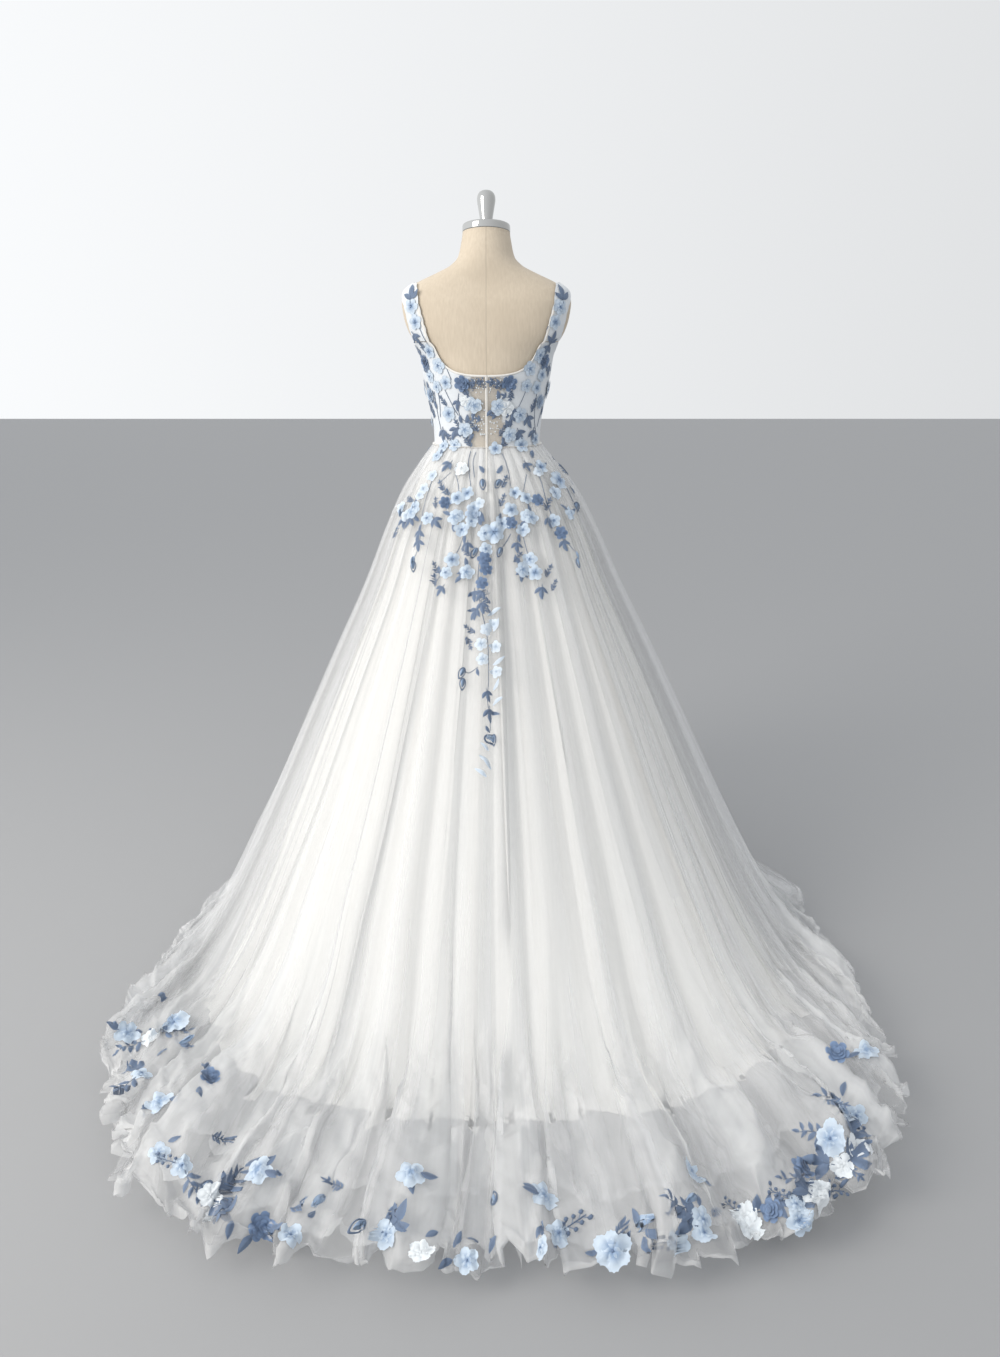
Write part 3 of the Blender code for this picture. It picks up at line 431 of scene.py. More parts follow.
class BodiceLooks(bpy.types.PropertyGroup):
    """Colours of the bodice, its straps, bindings and zip"""

    ground: FloatVectorProperty(
        name="Ground", description="Lined lace ground of the bodice", subtype="COLOR",
        min=0, max=1, default=(0.82, 0.86, 0.90),
    )
    binding: FloatVectorProperty(
        name="Binding", description="Satin binding of the edges", subtype="COLOR",
        min=0, max=1, default=(0.90, 0.88, 0.84),
    )
    sheer_width: FloatProperty(
        name="Sheer width", description="Half width of the unlined part beside the zip",
        unit="LENGTH", default=0.037, min=0,
    )


class FlowerLooks(bpy.types.PropertyGroup):
    """Colours of the flowers, leaves and stems"""

    pale: FloatVectorProperty(
        name="Pale petals", description="Outer part of the petals", subtype="COLOR",
        min=0, max=1, default=(0.60, 0.70, 0.81),
    )
    middle: FloatVectorProperty(
        name="Petal hearts", description="Inner part of the petals", subtype="COLOR",
        min=0, max=1, default=(0.26, 0.37, 0.54),
    )
    white: FloatVectorProperty(
        name="White petals", description="The white flowers", subtype="COLOR",
        min=0, max=1, default=(0.84, 0.89, 0.93),
    )
    dark: FloatVectorProperty(
        name="Roses", description="The dark roses", subtype="COLOR",
        min=0, max=1, default=(0.115, 0.175, 0.29),
    )
    leaf: FloatVectorProperty(
        name="Leaves", description="Leaves and sprigs", subtype="COLOR",
        min=0, max=1, default=(0.105, 0.15, 0.235),
    )
    stem: FloatVectorProperty(
        name="Stems", description="Embroidered stems", subtype="COLOR",
        min=0, max=1, default=(0.17, 0.23, 0.31),
    )


class StudioLooks(bpy.types.PropertyGroup):
    """The floor and the light of the studio"""

    floor: FloatVectorProperty(
        name="Floor", description="Pale matt floor", subtype="COLOR",
        min=0, max=1, default=(0.375, 0.38, 0.39),
    )
    window_power: FloatProperty(
        name="Window", description="Strength of the large light at the wearer's left",
        unit="POWER", default=90.0, min=0,
    )
    room: FloatProperty(
        name="Room light", description="Strength of the even light of the room",
        default=0.88, min=0,
    )


def looks(group):
    """One of the groups of settings of the scene."""
    return getattr(bpy.context.scene, group)


def smooth_between(keys, values, places):
    """Values at the given places, on a smooth curve that never overshoots a table's rows."""
    keys = np.asarray(keys, dtype=float)
    values = np.asarray(values, dtype=float)
    places = np.clip(np.asarray(places, dtype=float), keys[0], keys[-1])
    spans = np.diff(keys)
    slopes = np.diff(values) / spans
    before, after = slopes[:-1], slopes[1:]
    rising = before * after > 0
    total = np.where(rising, before + after, 1.0)
    tangents = np.zeros(len(keys))
    tangents[1:-1] = np.where(rising, 2 * before * after / total, 0.0)
    index = np.clip(np.searchsorted(keys, places, side="right") - 1, 0, len(keys) - 2)
    span = spans[index]
    share = (places - keys[index]) / span
    square, cube = share**2, share**3
    return (
        (2 * cube - 3 * square + 1) * values[index]
        + (cube - 2 * square + share) * span * tangents[index]
        + (3 * square - 2 * cube) * values[index + 1]
        + (cube - square) * span * tangents[index + 1]
    )


def column_of(rows, field):
    return [getattr(row, field) for row in rows]


def ramp(values, start, reach):
    """A share that rises from 0 at the start to 1 after this reach."""
    return np.clip((values - start) / reach, 0, 1)


def section_reach(turns, half_width, half_depth, square):
    """How far a rounded section reaches from its middle, in the direction of each turn."""
    across = np.abs(np.sin(np.radians(turns))) / half_width
    along = np.abs(np.cos(np.radians(turns))) / half_depth
    return (across**square + along**square) ** (-1 / square)


def form_points(turns, heights):
    """Points of the form's surface at turns from the centre back and heights, both in arrays."""
    keys = column_of(FORM_SECTIONS, "height")

    def at(field):
        return smooth_between(keys, column_of(FORM_SECTIONS, field), heights)

    reach = section_reach(turns, at("half_width"), at("half_depth"), at("square"))
    x = reach * np.sin(np.radians(turns))
    y = reach * np.cos(np.radians(turns))
    neck_share = ramp(heights, NECK_LEAN_START, NECK_LEAN_REACH)
    z = heights + y * math.tan(NECK_TILT) * neck_share
    return np.stack([x, at("middle_y") + y, z], axis=-1)


def top_edge_heights(turns):
    """The height of the bodice's top edge at turns of the left half."""
    return smooth_between(column_of(TOP_EDGE, "turn"), column_of(TOP_EDGE, "height"), turns)


def worn_points(turns, heights, out):
    """Points this far off the form, square to its surface."""
    around = form_points(turns + 0.5, heights) - form_points(turns - 0.5, heights)
    up = form_points(turns, heights + 0.002) - form_points(turns, heights - 0.002)
    normals = np.cross(up, around)
    normals /= np.linalg.norm(normals, axis=-1, keepdims=True)
    points = form_points(turns, heights)
    outward = np.stack([points[..., 0], points[..., 1], np.full(heights.shape, 0.0)], axis=-1)
    facing = np.sign(np.sum(normals * outward, axis=-1, keepdims=True))
    return points + normals * np.where(facing == 0, 1, facing) * out


def grid_normals(points):
    """Outward directions of a grid whose rows run down and whose columns run with the turns."""
    across = np.gradient(points, axis=1)
    down = np.gradient(points, axis=0)
    normals = np.cross(across, down)
    return normals / np.maximum(np.linalg.norm(normals, axis=-1, keepdims=True), 1e-12)


def stored_mesh(name, work):
    """Turn a bmesh into a mesh of this name and free it."""
    mesh = bpy.data.meshes.new(name)
    work.to_mesh(mesh)
    work.free()
    return mesh


def linked_object(name, data):
    """An object of the scene with this data."""
    made = bpy.data.objects.new(name, data)
    bpy.context.scene.collection.objects.link(made)
    return made


def grid_object(name, points, closed=False, dense=None):
    """A sheet through a grid of points, with a UV map in metres across and along it."""
    rows, columns = points.shape[:2]
    work = bmesh.new()
    bmesh.ops.create_grid(work, x_segments=columns - 1, y_segments=rows - 1, size=1)
    mesh = stored_mesh(name, work)
    mesh.vertices.foreach_set("co", points.reshape(-1))
    widths = np.linalg.norm(np.diff(points, axis=1), axis=-1).mean(axis=0)
    lengths = np.linalg.norm(np.diff(points, axis=0), axis=-1).mean(axis=1)
    across = np.concatenate([[0], np.cumsum(widths)])
    along = np.concatenate([[0], np.cumsum(lengths)])
    table = np.stack(np.broadcast_arrays(across[None, :], along[:, None]), axis=-1).reshape(-1, 2)
    corners = np.empty(len(mesh.loops), dtype=np.int32)
    mesh.loops.foreach_get("vertex_index", corners)
    cloth_map = mesh.uv_layers.new(name="cloth")
    cloth_map.data.foreach_set("uv", table[corners].reshape(-1))
    if dense is not None:
        density = mesh.attributes.new("dense", "FLOAT", "POINT")
        density.data.foreach_set("value", dense.reshape(-1))
    if closed:
        work = bmesh.new()
        work.from_mesh(mesh)
        bmesh.ops.remove_doubles(work, verts=work.verts, dist=0.00001)
        work.to_mesh(mesh)
        work.free()
    mesh.shade_smooth()
    mesh.update()
    return linked_object(name, mesh)


def refinish(piece, material):
    """Give a piece this one material."""
    piece.data.materials.clear()
    piece.data.materials.append(material)


def keep(piece, material, nodes):
    """Give a piece its finish, let it ride on the part and stand for its solid nodes."""
    refinish(piece, material)
    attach(piece, "root")
    if nodes:
        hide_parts(*nodes)


def shader_of(material):
    return material.node_tree.nodes["Principled BSDF"]


def plain_material(name, color, roughness, metallic=0.0, sheen=0.0):
    made = bpy.data.materials.new(name)
    made.use_nodes = True
    shader = shader_of(made)
    shader.inputs["Base Color"].default_value = (*color, 1.0)
    shader.inputs["Roughness"].default_value = roughness
    shader.inputs["Metallic"].default_value = metallic
    shader.inputs["Sheen Weight"].default_value = sheen
    return made


def new_group(name, inputs, outputs):
    """An empty node group: its nodes, a function that links, and its two end nodes."""
    group = bpy.data.node_groups.new(name, "ShaderNodeTree")
    for socket, kind, value in inputs:
        made = group.interface.new_socket(socket, in_out="INPUT", socket_type=kind)
        if kind == "NodeSocketColor":
            value = (*value, 1.0)
        made.default_value = value
    for socket, kind in outputs:
        group.interface.new_socket(socket, in_out="OUTPUT", socket_type=kind)
    source = group.nodes.new("NodeGroupInput")
    target = group.nodes.new("NodeGroupOutput")
    return group, source.outputs, target.inputs


def feed(tree, socket, value):
    """Link an output to a socket, or set the socket to a plain value."""
    if isinstance(value, bpy.types.NodeSocket):
        tree.links.new(value, socket)
    else:
        socket.default_value = value


def add_node(tree, kind, **settings):
    """A node whose attributes, and whose inputs by their names, are set or linked."""
    node = tree.nodes.new(kind)
    for name, value in settings.pop("inputs", {}).items():
        feed(tree, node.inputs[name], value)
    for name, value in settings.items():
        setattr(node, name, value)
    return node


def worked_out(tree, operation, *values, clamp=False):
    """The result of one operation on outputs and plain numbers."""
    node = add_node(tree, "ShaderNodeMath", operation=operation, use_clamp=clamp)
    for socket, value in zip(node.inputs, values):
        feed(tree, socket, value)
    return node.outputs["Value"]


def ranged(tree, value, start, stop, low, high):
    """A value's place between start and stop, carried over to low and high and kept there."""
    names = ("Value", "From Min", "From Max", "To Min", "To Max")
    inputs = dict(zip(names, (value, start, stop, low, high)))
    return add_node(tree, "ShaderNodeMapRange", inputs=inputs).outputs["Result"]


def noise(tree, place, scale, detail=2.0):
    inputs = {"Vector": place, "Scale": scale, "Detail": detail}
    return add_node(tree, "ShaderNodeTexNoise", inputs=inputs).outputs["Fac"]


def stretched(tree, place, scale):
    inputs = {"Vector": place, "Scale": scale}
    return add_node(tree, "ShaderNodeMapping", inputs=inputs).outputs["Vector"]


def place_output(tree, kind):
    return add_node(tree, "ShaderNodeTexCoord").outputs[kind]


def axes_of(tree, place):
    return add_node(tree, "ShaderNodeSeparateXYZ", inputs={"Vector": place}).outputs


def mix_colors(tree, share, first, second):
    """The mix of two colours, each an output or a plain colour."""
    node = add_node(tree, "ShaderNodeMix", data_type="RGBA")
    tree.links.new(share, node.inputs["Factor"])
    for socket, value in ((node.inputs["A"], first), (node.inputs["B"], second)):
        feed(tree, socket, value if isinstance(value, bpy.types.NodeSocket) else (*value, 1.0))
    return node.outputs["Result"]


def thread_group():
    """Crossed threads of a woven cloth with thicker slubs, from its place on the piece."""
    if "woven threads" in bpy.data.node_groups:
        return bpy.data.node_groups["woven threads"]
    group, source, target = new_group(
        "woven threads",
        (
            ("Light", "NodeSocketColor", (0.8, 0.8, 0.8)),
            ("Dark", "NodeSocketColor", (0.6, 0.6, 0.6)),
            ("Threads", "NodeSocketFloat", 900.0),
            ("Mottle", "NodeSocketFloat", 9.0),
        ),
        (("Color", "NodeSocketColor"), ("Height", "NodeSocketFloat")),
    )
    place = place_output(group, "Object")
    waves = []
    for direction in ("X", "Z"):
        wave = add_node(
            group, "ShaderNodeTexWave", bands_direction=direction,
            inputs={"Vector": place, "Scale": source["Threads"], "Distortion": 1.5, "Detail": 1.0},
        )
        waves.append(wave.outputs["Fac"])
    weave = worked_out(group, "MULTIPLY", *waves)
    slub = noise(group, stretched(group, place, (1.0, 1.0, 0.16)), 260.0)
    mottle = noise(group, place, source["Mottle"], 3.0)
    share = worked_out(group, "MULTIPLY", slub, mottle)
    doubled = worked_out(group, "MULTIPLY", share, 2.2, clamp=True)
    color = mix_colors(group, doubled, source["Dark"], source["Light"])
    group.links.new(color, target["Color"])
    group.links.new(worked_out(group, "ADD", weave, share), target["Height"])
    return group


def net_group():
    """How much light a tulle layer stops: soft streaks along its folds and a fine mottle, and its
    colour with painted shade along the same wide streaks.
    """
    if "tulle net" in bpy.data.node_groups:
        return bpy.data.node_groups["tulle net"]
    group, source, target = new_group(
        "tulle net",
        (
            ("Least", "NodeSocketFloat", 0.15),
            ("Most", "NodeSocketFloat", 0.35),
            ("Light", "NodeSocketColor", (0.9, 0.9, 0.9)),
            ("Shade", "NodeSocketColor", (0.8, 0.8, 0.8)),
        ),
        (
            ("Cover", "NodeSocketFloat"),
            ("Color", "NodeSocketColor"),
            ("Height", "NodeSocketFloat"),
        ),
    )
    place = place_output(group, "UV")
    wide_streaks = noise(group, stretched(group, place, (26.0, 0.9, 1.0)), 1.0)
    narrow_streaks = noise(group, stretched(group, place, (110.0, 2.2, 1.0)), 1.0)
    total = worked_out(group, "ADD", wide_streaks, narrow_streaks)
    dense = add_node(group, "ShaderNodeAttribute", attribute_name="dense").outputs["Fac"]
    mixed = worked_out(group, "MULTIPLY_ADD", total, 0.5, dense)
    cover = ranged(group, mixed, 0.45, 1.55, source["Least"], source["Most"])
    # Painted shade: the colour darkens to Shade where the wide streaks run low, which is also where
    # the net is thin.
    color = mix_colors(group, wide_streaks, source["Shade"], source["Light"])
    group.links.new(cover, target["Cover"])
    group.links.new(color, target["Color"])
    group.links.new(total, target["Height"])
    return group


def stitch_group():
    """Satin stitches of an embroidered motif: its tone from heart to rim, and its threads."""
    if "satin stitches" in bpy.data.node_groups:
        return bpy.data.node_groups["satin stitches"]
    group, source, target = new_group(
        "satin stitches",
        (
            ("Rim", "NodeSocketColor", (0.5, 0.6, 0.8)),
            ("Heart", "NodeSocketColor", (0.2, 0.3, 0.5)),
            ("Threads", "NodeSocketFloat", 700.0),
        ),
        (("Color", "NodeSocketColor"), ("Height", "NodeSocketFloat")),
    )
    place = place_output(group, "Object")
    tone = add_node(group, "ShaderNodeAttribute", attribute_name="tone").outputs["Fac"]
    wave = add_node(
        group, "ShaderNodeTexWave", bands_direction="DIAGONAL",
        inputs={"Vector": place, "Scale": source["Threads"], "Distortion": 3.0, "Detail": 2.0},
    )
    stray = ranged(group, noise(group, place, 85.0), 0.3, 0.7, -0.16, 0.16)
    share = worked_out(group, "ADD", tone, stray, clamp=True)
    color = mix_colors(group, share, source["Heart"], source["Rim"])
    group.links.new(color, target["Color"])
    group.links.new(wave.outputs["Fac"], target["Height"])
    return group


def place_group(material, group, values):
    """Place a node group in a material with its own values."""
    node = material.node_tree.nodes.new("ShaderNodeGroup")
    node.node_tree = group
    for name, value in values.items():
        node.inputs[name].default_value = (*value, 1.0) if hasattr(value, "__len__") else value
    return node.outputs


def add_bump(material, height, strength, distance):
    tree = material.node_tree
    inputs = {"Height": height, "Strength": strength, "Distance": distance}
    bump = add_node(tree, "ShaderNodeBump", inputs=inputs)
    tree.links.new(bump.outputs["Normal"], shader_of(material).inputs["Normal"])


def woven_material(name, light, dark, threads, roughness, sheen=0.2):
    made = plain_material(name, light, roughness, sheen=sheen)
    values = {"Light": tuple(light), "Dark": tuple(dark), "Threads": threads}
    woven = place_group(made, thread_group(), values)
    made.node_tree.links.new(woven["Color"], shader_of(made).inputs["Base Color"])
    add_bump(made, woven["Height"], 0.35, 0.0004)
    return made


def mark_centre_seam(linen, shade):
    """A faint seam down the middle of the form's back and front."""
    tree = linen.node_tree
    base = shader_of(linen).inputs["Base Color"]
    weave = base.links[0].from_socket
    side = worked_out(tree, "ABSOLUTE", axes_of(tree, place_output(tree, "Object"))["X"])
    seam = ranged(tree, side, CENTRE_SEAM_HALF, CENTRE_SEAM_FADE, 0.5, 0.0)
    color = mix_colors(tree, seam, weave, [value * 0.62 for value in shade])
    tree.links.new(color, base)


def tulle_material(name, color, least, most):
    made = plain_material(name, color, 0.62, sheen=0.25)
    # Shade is the net's colour 6% darker, painted in along its thin streaks.
    shade = [value * 0.94 for value in color]
    values = {"Least": least, "Most": most, "Light": tuple(color), "Shade": tuple(shade)}
    net = place_group(made, net_group(), values)
    made.node_tree.links.new(net["Color"], shader_of(made).inputs["Base Color"])
    made.node_tree.links.new(net["Cover"], shader_of(made).inputs["Alpha"])
    add_bump(made, net["Height"], 0.2, 0.002)
    return made


def stitched_material(name, rim, heart):
    made = plain_material(name, rim, 0.55, sheen=0.3)
    stitches = place_group(made, stitch_group(), {"Rim": tuple(rim), "Heart": tuple(heart)})
    made.node_tree.links.new(stitches["Color"], shader_of(made).inputs["Base Color"])
    add_bump(made, stitches["Height"], 0.4, 0.0003)
    return made


def metal_material(name, color, roughness):
    made = plain_material(name, color, roughness, 1.0)
    tree = made.node_tree
    smear = noise(tree, place_output(tree, "Object"), 60.0)
    spread = ranged(tree, smear, 0.0, 1.0, roughness * 0.6, roughness * 1.6)
    tree.links.new(spread, shader_of(made).inputs["Roughness"])
    return made


def lace_material(name, color, sheer_width):
    """Fine lace over a white lining, and over bare net beside the zip."""
    made = plain_material(name, color, 0.6, sheen=0.25)
    tree = made.node_tree
    place = place_output(tree, "Object")
    holes = add_node(
        tree, "ShaderNodeTexVoronoi", feature="DISTANCE_TO_EDGE",
        inputs={"Vector": place, "Scale": 620.0},
    )
    shade = mix_colors(tree, noise(tree, place, 34.0), [value * 0.90 for value in color], color)
    tree.links.new(shade, shader_of(made).inputs["Base Color"])
    add_bump(made, holes.outputs["Distance"], 0.3, 0.0006)
    if sheer_width > 0:
        axes = axes_of(tree, place)
        side = worked_out(tree, "ABSOLUTE", axes["X"])
        ragged = worked_out(tree, "MULTIPLY_ADD", noise(tree, place, 75.0), 0.034, side)
        lined = ranged(tree, ragged, sheer_width + 0.011, sheer_width + 0.023, 0.26, 1.0)
        in_front = worked_out(tree, "LESS_THAN", axes["Y"], 0.0)
        cover = worked_out(tree, "MAXIMUM", lined, in_front)
        tree.links.new(cover, shader_of(made).inputs["Alpha"])
    return made


def turned_piece(name, profile, base, tilt):
    """A closed piece turned about its own axis, listed from its top to its bottom."""
    work = bmesh.new()
    points = [work.verts.new((radius, 0, height)) for radius, height in profile]
    edges = [work.edges.new(pair) for pair in zip(points, points[1:])]
    bmesh.ops.spin(
        work, geom=points + edges, axis=(0, 0, 1), cent=(0, 0, 0),
        angle=math.tau, steps=64, use_merge=True,
    )
    bmesh.ops.remove_doubles(work, verts=work.verts, dist=0.00002)
    bmesh.ops.recalc_face_normals(work, faces=work.faces)
    place = Matrix.Translation(base) @ Matrix.Rotation(tilt, 4, "X")
    bmesh.ops.transform(work, matrix=place, verts=work.verts)
    mesh = stored_mesh(name, work)
    mesh.shade_smooth()
    mesh.set_sharp_from_angle(angle=math.radians(38))
    return linked_object(name, mesh)


def fold_table():
    """The shared folds as in the solids: for each one its edges as turns and its depth."""
    dice = random.Random(FOLD_SEED)
    starts = (0.0, SIDE_SEAM_TURN, 360.0 - SIDE_SEAM_TURN, 360.0)
    edges, depths = [0.0], []
    for start, end, count in zip(starts, starts[1:], (BACK_FOLDS, FRONT_FOLDS, BACK_FOLDS)):
        widths = [dice.uniform(0.62, 1.38) for _ in range(count)]
        depths += [dice.uniform(0.45, 1.2) for _ in range(count)]
        whole = sum(widths)
        for width in widths:
            edges.append(edges[-1] + (end - start) * width / whole)
    return np.array(edges), np.array(depths)


def shared_waves(turns):
    """The shared folds at each turn, from -1 in a trough to 1 on a crest, times their depth."""
    edges, depths = fold_table()
    index = np.clip(np.searchsorted(edges, turns, side="right") - 1, 0, len(depths) - 1)
    across = (turns - edges[index]) / (edges[index + 1] - edges[index])
    crest = np.sin(np.pi * np.clip(across, 0, 1)) ** 0.8
    before = (depths[index] + depths[index - 1]) / 2
    after = (depths[index] + depths[(index + 1) % len(depths)]) / 2
    trough = np.where(across < 0.5, before, after)
    return crest * depths[index] * 0.95 - (1 - crest) * trough


FineFold = namedtuple("FineFold", "turn width height start stop sweep lean sharp")


def fine_folds(layer):
    """Narrow folds of one layer, each with its own place, width, reach and lean, from a seed."""
    dice = random.Random(layer.seed)
    folds = []
    for k in range(layer.fine_folds):
        long_fold = k % 5 < 2
        start = dice.choice((0.0, 0.0, 0.6, 1.5, 3.0) if long_fold else (5.5, 6.5, 7.2, 7.8, 8.4))
        stop = 12.0 if not long_fold else dice.choice((8.0, 9.5, 12.0, 12.0))
        folds.append(
            FineFold(
                360.0 * (k + dice.uniform(0.1, 0.9)) / layer.fine_folds,
                dice.uniform(1.3, 3.4) if long_fold else dice.uniform(0.45, 1.3),
                dice.uniform(0.4, 1.0) * dice.choice((1.0, 1.0, -0.7)),
                start,
                stop,
                dice.uniform(-3.5, 3.5),
                dice.uniform(0.8, 2.6) * dice.choice((-1, 1)),
                dice.uniform(1.4, 2.8),
            )
        )
    return folds


def shared_sweep(turns, share):
    """How far all folds swing round together, in degrees, growing towards the hem."""
    bend = np.sin(np.radians(turns * 2 + 40)) * 3.0 + np.sin(np.radians(turns * 5 + 115)) * 1.6
    return bend * share**1.6


def fine_waves(layer, turns, places):
    """How far the fine folds lift each point and lean it sideways, in metres."""
    lift = np.zeros(turns.shape)
    aside = np.zeros(turns.shape)
    share = places / LAST_SECTION
    depth = smooth_between(np.linspace(0, LAST_SECTION, len(FINE_DEPTHS)), FINE_DEPTHS, places)
    swung = turns - shared_sweep(turns, share)
    for fold in fine_folds(layer):
        middle = fold.turn + fold.sweep * share**1.5
        offset = (swung - middle + 180.0) % 360.0 - 180.0
        ridge = np.exp(-np.abs(offset / fold.width) ** fold.sharp)
        onset = ramp(places, fold.start, 1.5) * np.clip((fold.stop - places) / 1.5, 0, 1)
        ridge = ridge * onset * fold.height
        lift += ridge
        aside += ridge * fold.lean
    return lift * depth * layer.fine_depth, aside * depth * layer.fine_depth


def around_noise(turns, seed, rounds):
    """A smooth value from 0 to 1 that changes about this often on the way round."""
    dice = random.Random(seed)
    total = np.zeros(turns.shape)
    for _ in range(5):
        often = round(rounds * dice.uniform(0.4, 1.5))
        total += np.sin(np.radians(turns * often + 360 * dice.random()))
    return np.clip(0.5 + total / 5, 0, 1)


def hem_points(turns, seed):
    """How far the hem runs out or in at each turn, in shares of its full reach."""
    dice = random.Random(seed)
    total = np.zeros(turns.shape)
    for k in range(HEM_POINTS):
        middle = 360.0 * (k + dice.uniform(0.1, 0.9)) / HEM_POINTS
        width = dice.uniform(0.5, 2.2)
        skew = dice.uniform(-0.6, 0.6)
        offset = (turns - middle + 180.0) % 360.0 - 180.0
        offset = offset * np.where(offset > 0, 1 + skew, 1 - skew)
        total += np.clip(1 - np.abs(offset) / width, 0, None) * dice.uniform(-0.7, 1.0)
    return np.clip(total, -1.0, 1.0)


def heaped_share(turns):
    """How much of the train's heap and points a turn has: all behind, little at the front."""
    behind = np.clip(0.5 + 0.75 * np.cos(np.radians(turns)), 0, 1)
    return 0.22 + 0.78 * behind * behind * (3 - 2 * behind)


def skirt_points(layer):
    """A layer's points, rows from the waist to its hem and columns once around from the zip."""
    steps = np.linspace(0, 1, layer.rows)
    arc = 1 - (1 - steps) ** 1.3
    keys = np.arange(len(SKIRT_SECTIONS), dtype=float)
    reach_back = np.hypot(
        np.diff(column_of(SKIRT_SECTIONS, "height")), np.diff(column_of(SKIRT_SECTIONS, "back_y"))
    )
    lengths = np.concatenate([[0], np.cumsum(reach_back)])
    whole = np.interp(layer.reach, keys, lengths)
    places = np.interp(arc * whole, lengths, keys)[:, None] * np.ones((1, layer.columns))
    turns = np.linspace(0, 360.0, layer.columns)[None, :] * np.ones((layer.rows, 1))

    def at(field):
        return smooth_between(keys, column_of(SKIRT_SECTIONS, field), places)

    behind = np.cos(np.radians(turns)) > 0
    end_y = np.where(behind, at("back_y"), at("front_y"))
    square = np.where(behind, at("back_square"), at("front_square"))
    reach = section_reach(turns, at("half_width"), np.abs(end_y - at("wide_y")), square)
    waves = shared_waves(turns) * layer.fold_share
    near_hem = ramp(places, layer.reach - 1.3, 1.3)
    heaped = heaped_share(turns)
    out = hem_points(turns, layer.seed + 1) * HEM_POINT_REACH * near_hem**2 * heaped
    reach = reach + at("fold") * waves + out
    x = at("middle_x") + reach * np.sin(np.radians(turns))
    y = at("wide_y") + reach * np.cos(np.radians(turns))
    base = at("height")
    hem_height = base[-1:, :]
    z = base + at("lift") * np.clip(waves + layer.fold_share, 0, None) / 2
    z = z - hem_height * ramp(places, layer.reach - 1.8, 1.8) ** 1.6
    heap = ramp(places, layer.reach - 2.6, 1.6) * (1 - 0.75 * near_hem**3)
    puffs = 0.25 + around_noise(turns, layer.seed, 17)
    z = z + PUFF_HEIGHT * layer.fine_depth * heap * puffs * heaped
    points = np.stack([x, y, z], axis=-1)
    inset_steps = np.linspace(0, layer.reach, len(layer.insets))
    inset = smooth_between(inset_steps, layer.insets, places)
    lift, aside = fine_waves(layer, turns, places)
    normals = grid_normals(points)
    across = np.gradient(points, axis=1)
    across /= np.maximum(np.linalg.norm(across, axis=-1, keepdims=True), 1e-9)
    points = points + normals * (lift - inset)[..., None] + across * aside[..., None]
    points[:, -1] = points[:, 0] = (points[:, 0] + points[:, -1]) / 2
    return points, places, turns


def lengths_along(points, axis):
    """The length run from the first row or column of a grid to each of its points."""
    steps = np.linalg.norm(np.diff(points, axis=axis), axis=-1)
    start = np.zeros_like(np.take(steps, [0], axis=axis))
    return np.concatenate([start, np.cumsum(steps, axis=axis)], axis=axis)


def crease_waves(points, places, seed, start, height):
    """Sharp, bent creases of cloth that lies in a heap near the floor, in metres, from a seed."""
    dice = random.Random(seed)
    across = lengths_along(points, 1)
    along = lengths_along(points, 0)
    whole = across[:, -1:]
    total = np.zeros(across.shape)
    for size, share in ((0.26, 1.0), (0.15, 0.8), (0.085, 0.5), (0.048, 0.3)):
        for _ in range(4):
            rounds = np.round(whole[-1] / size * dice.uniform(0.6, 1.2))
            slope = dice.uniform(-1.2, 1.2) / size
            bend = dice.uniform(0.4, 1.1) * np.sin(
                2 * np.pi * (along / size / dice.uniform(1.5, 3.0) + dice.random())
                + 2 * np.pi * np.round(rounds / 3) * across / whole
            )
            phase = 2 * np.pi * (rounds * across / whole + slope * along + dice.random()) + bend
            ridge = (1 - np.abs(np.sin(phase / 2))) ** 1.6
            total += ridge * share * dice.uniform(0.5, 1.0)
    onset = ramp(places, start, 1.8) ** 1.2
    return total / 4 * onset * height


def keep_in_box(points, floor_gap):
    """Points that stay above the floor and inside the box of the solid parts."""
    low = np.array(CAD_BOX[0]) - BOX_REACH
    high = np.array(CAD_BOX[1]) + BOX_REACH
    low[2] = floor_gap
    return np.clip(points, low, high)


def split_columns(name, turns):
    """The three panels of a layer between its seams, as slices of its columns."""
    row = turns[-1]
    first = int(np.searchsorted(row, SIDE_SEAM_TURN))
    second = int(np.searchsorted(row, 360.0 - SIDE_SEAM_TURN))
    return (
        (name + "_back_left", slice(0, first + 1)),
        (name + "_front", slice(first, second + 1)),
        (name + "_back_right", slice(second, None)),
    )


def net_density(places, turns, layer):
    """How dense the net looks from 0 to 1: gathers thicken it, most of all near the hem."""
    gather = smooth_between((0, 1.5, 5, 8, 9.5, 11), (0.75, 0.35, 0.25, 0.35, 0.5, 0.55), places)
    bands = around_noise(turns - shared_sweep(turns, places / LAST_SECTION), layer.seed + 5, 40)
    edge = ramp(places, layer.reach - 0.10, 0.05)
    return np.clip(gather * (0.35 + 1.3 * bands) + 0.45 * edge, 0, 1)


def template(name):
    return bpy.data.meshes[name]


def store_template(name, work, tones=None):
    """Keep a motif as a mesh with a tone for each point, 0 at its heart and 1 at its rim."""
    mesh = stored_mesh(name, work)
    mesh.shade_smooth()
    if tones is not None:
        tone = mesh.attributes.new("tone", "FLOAT", "POINT")
        tone.data.foreach_set("value", tones)


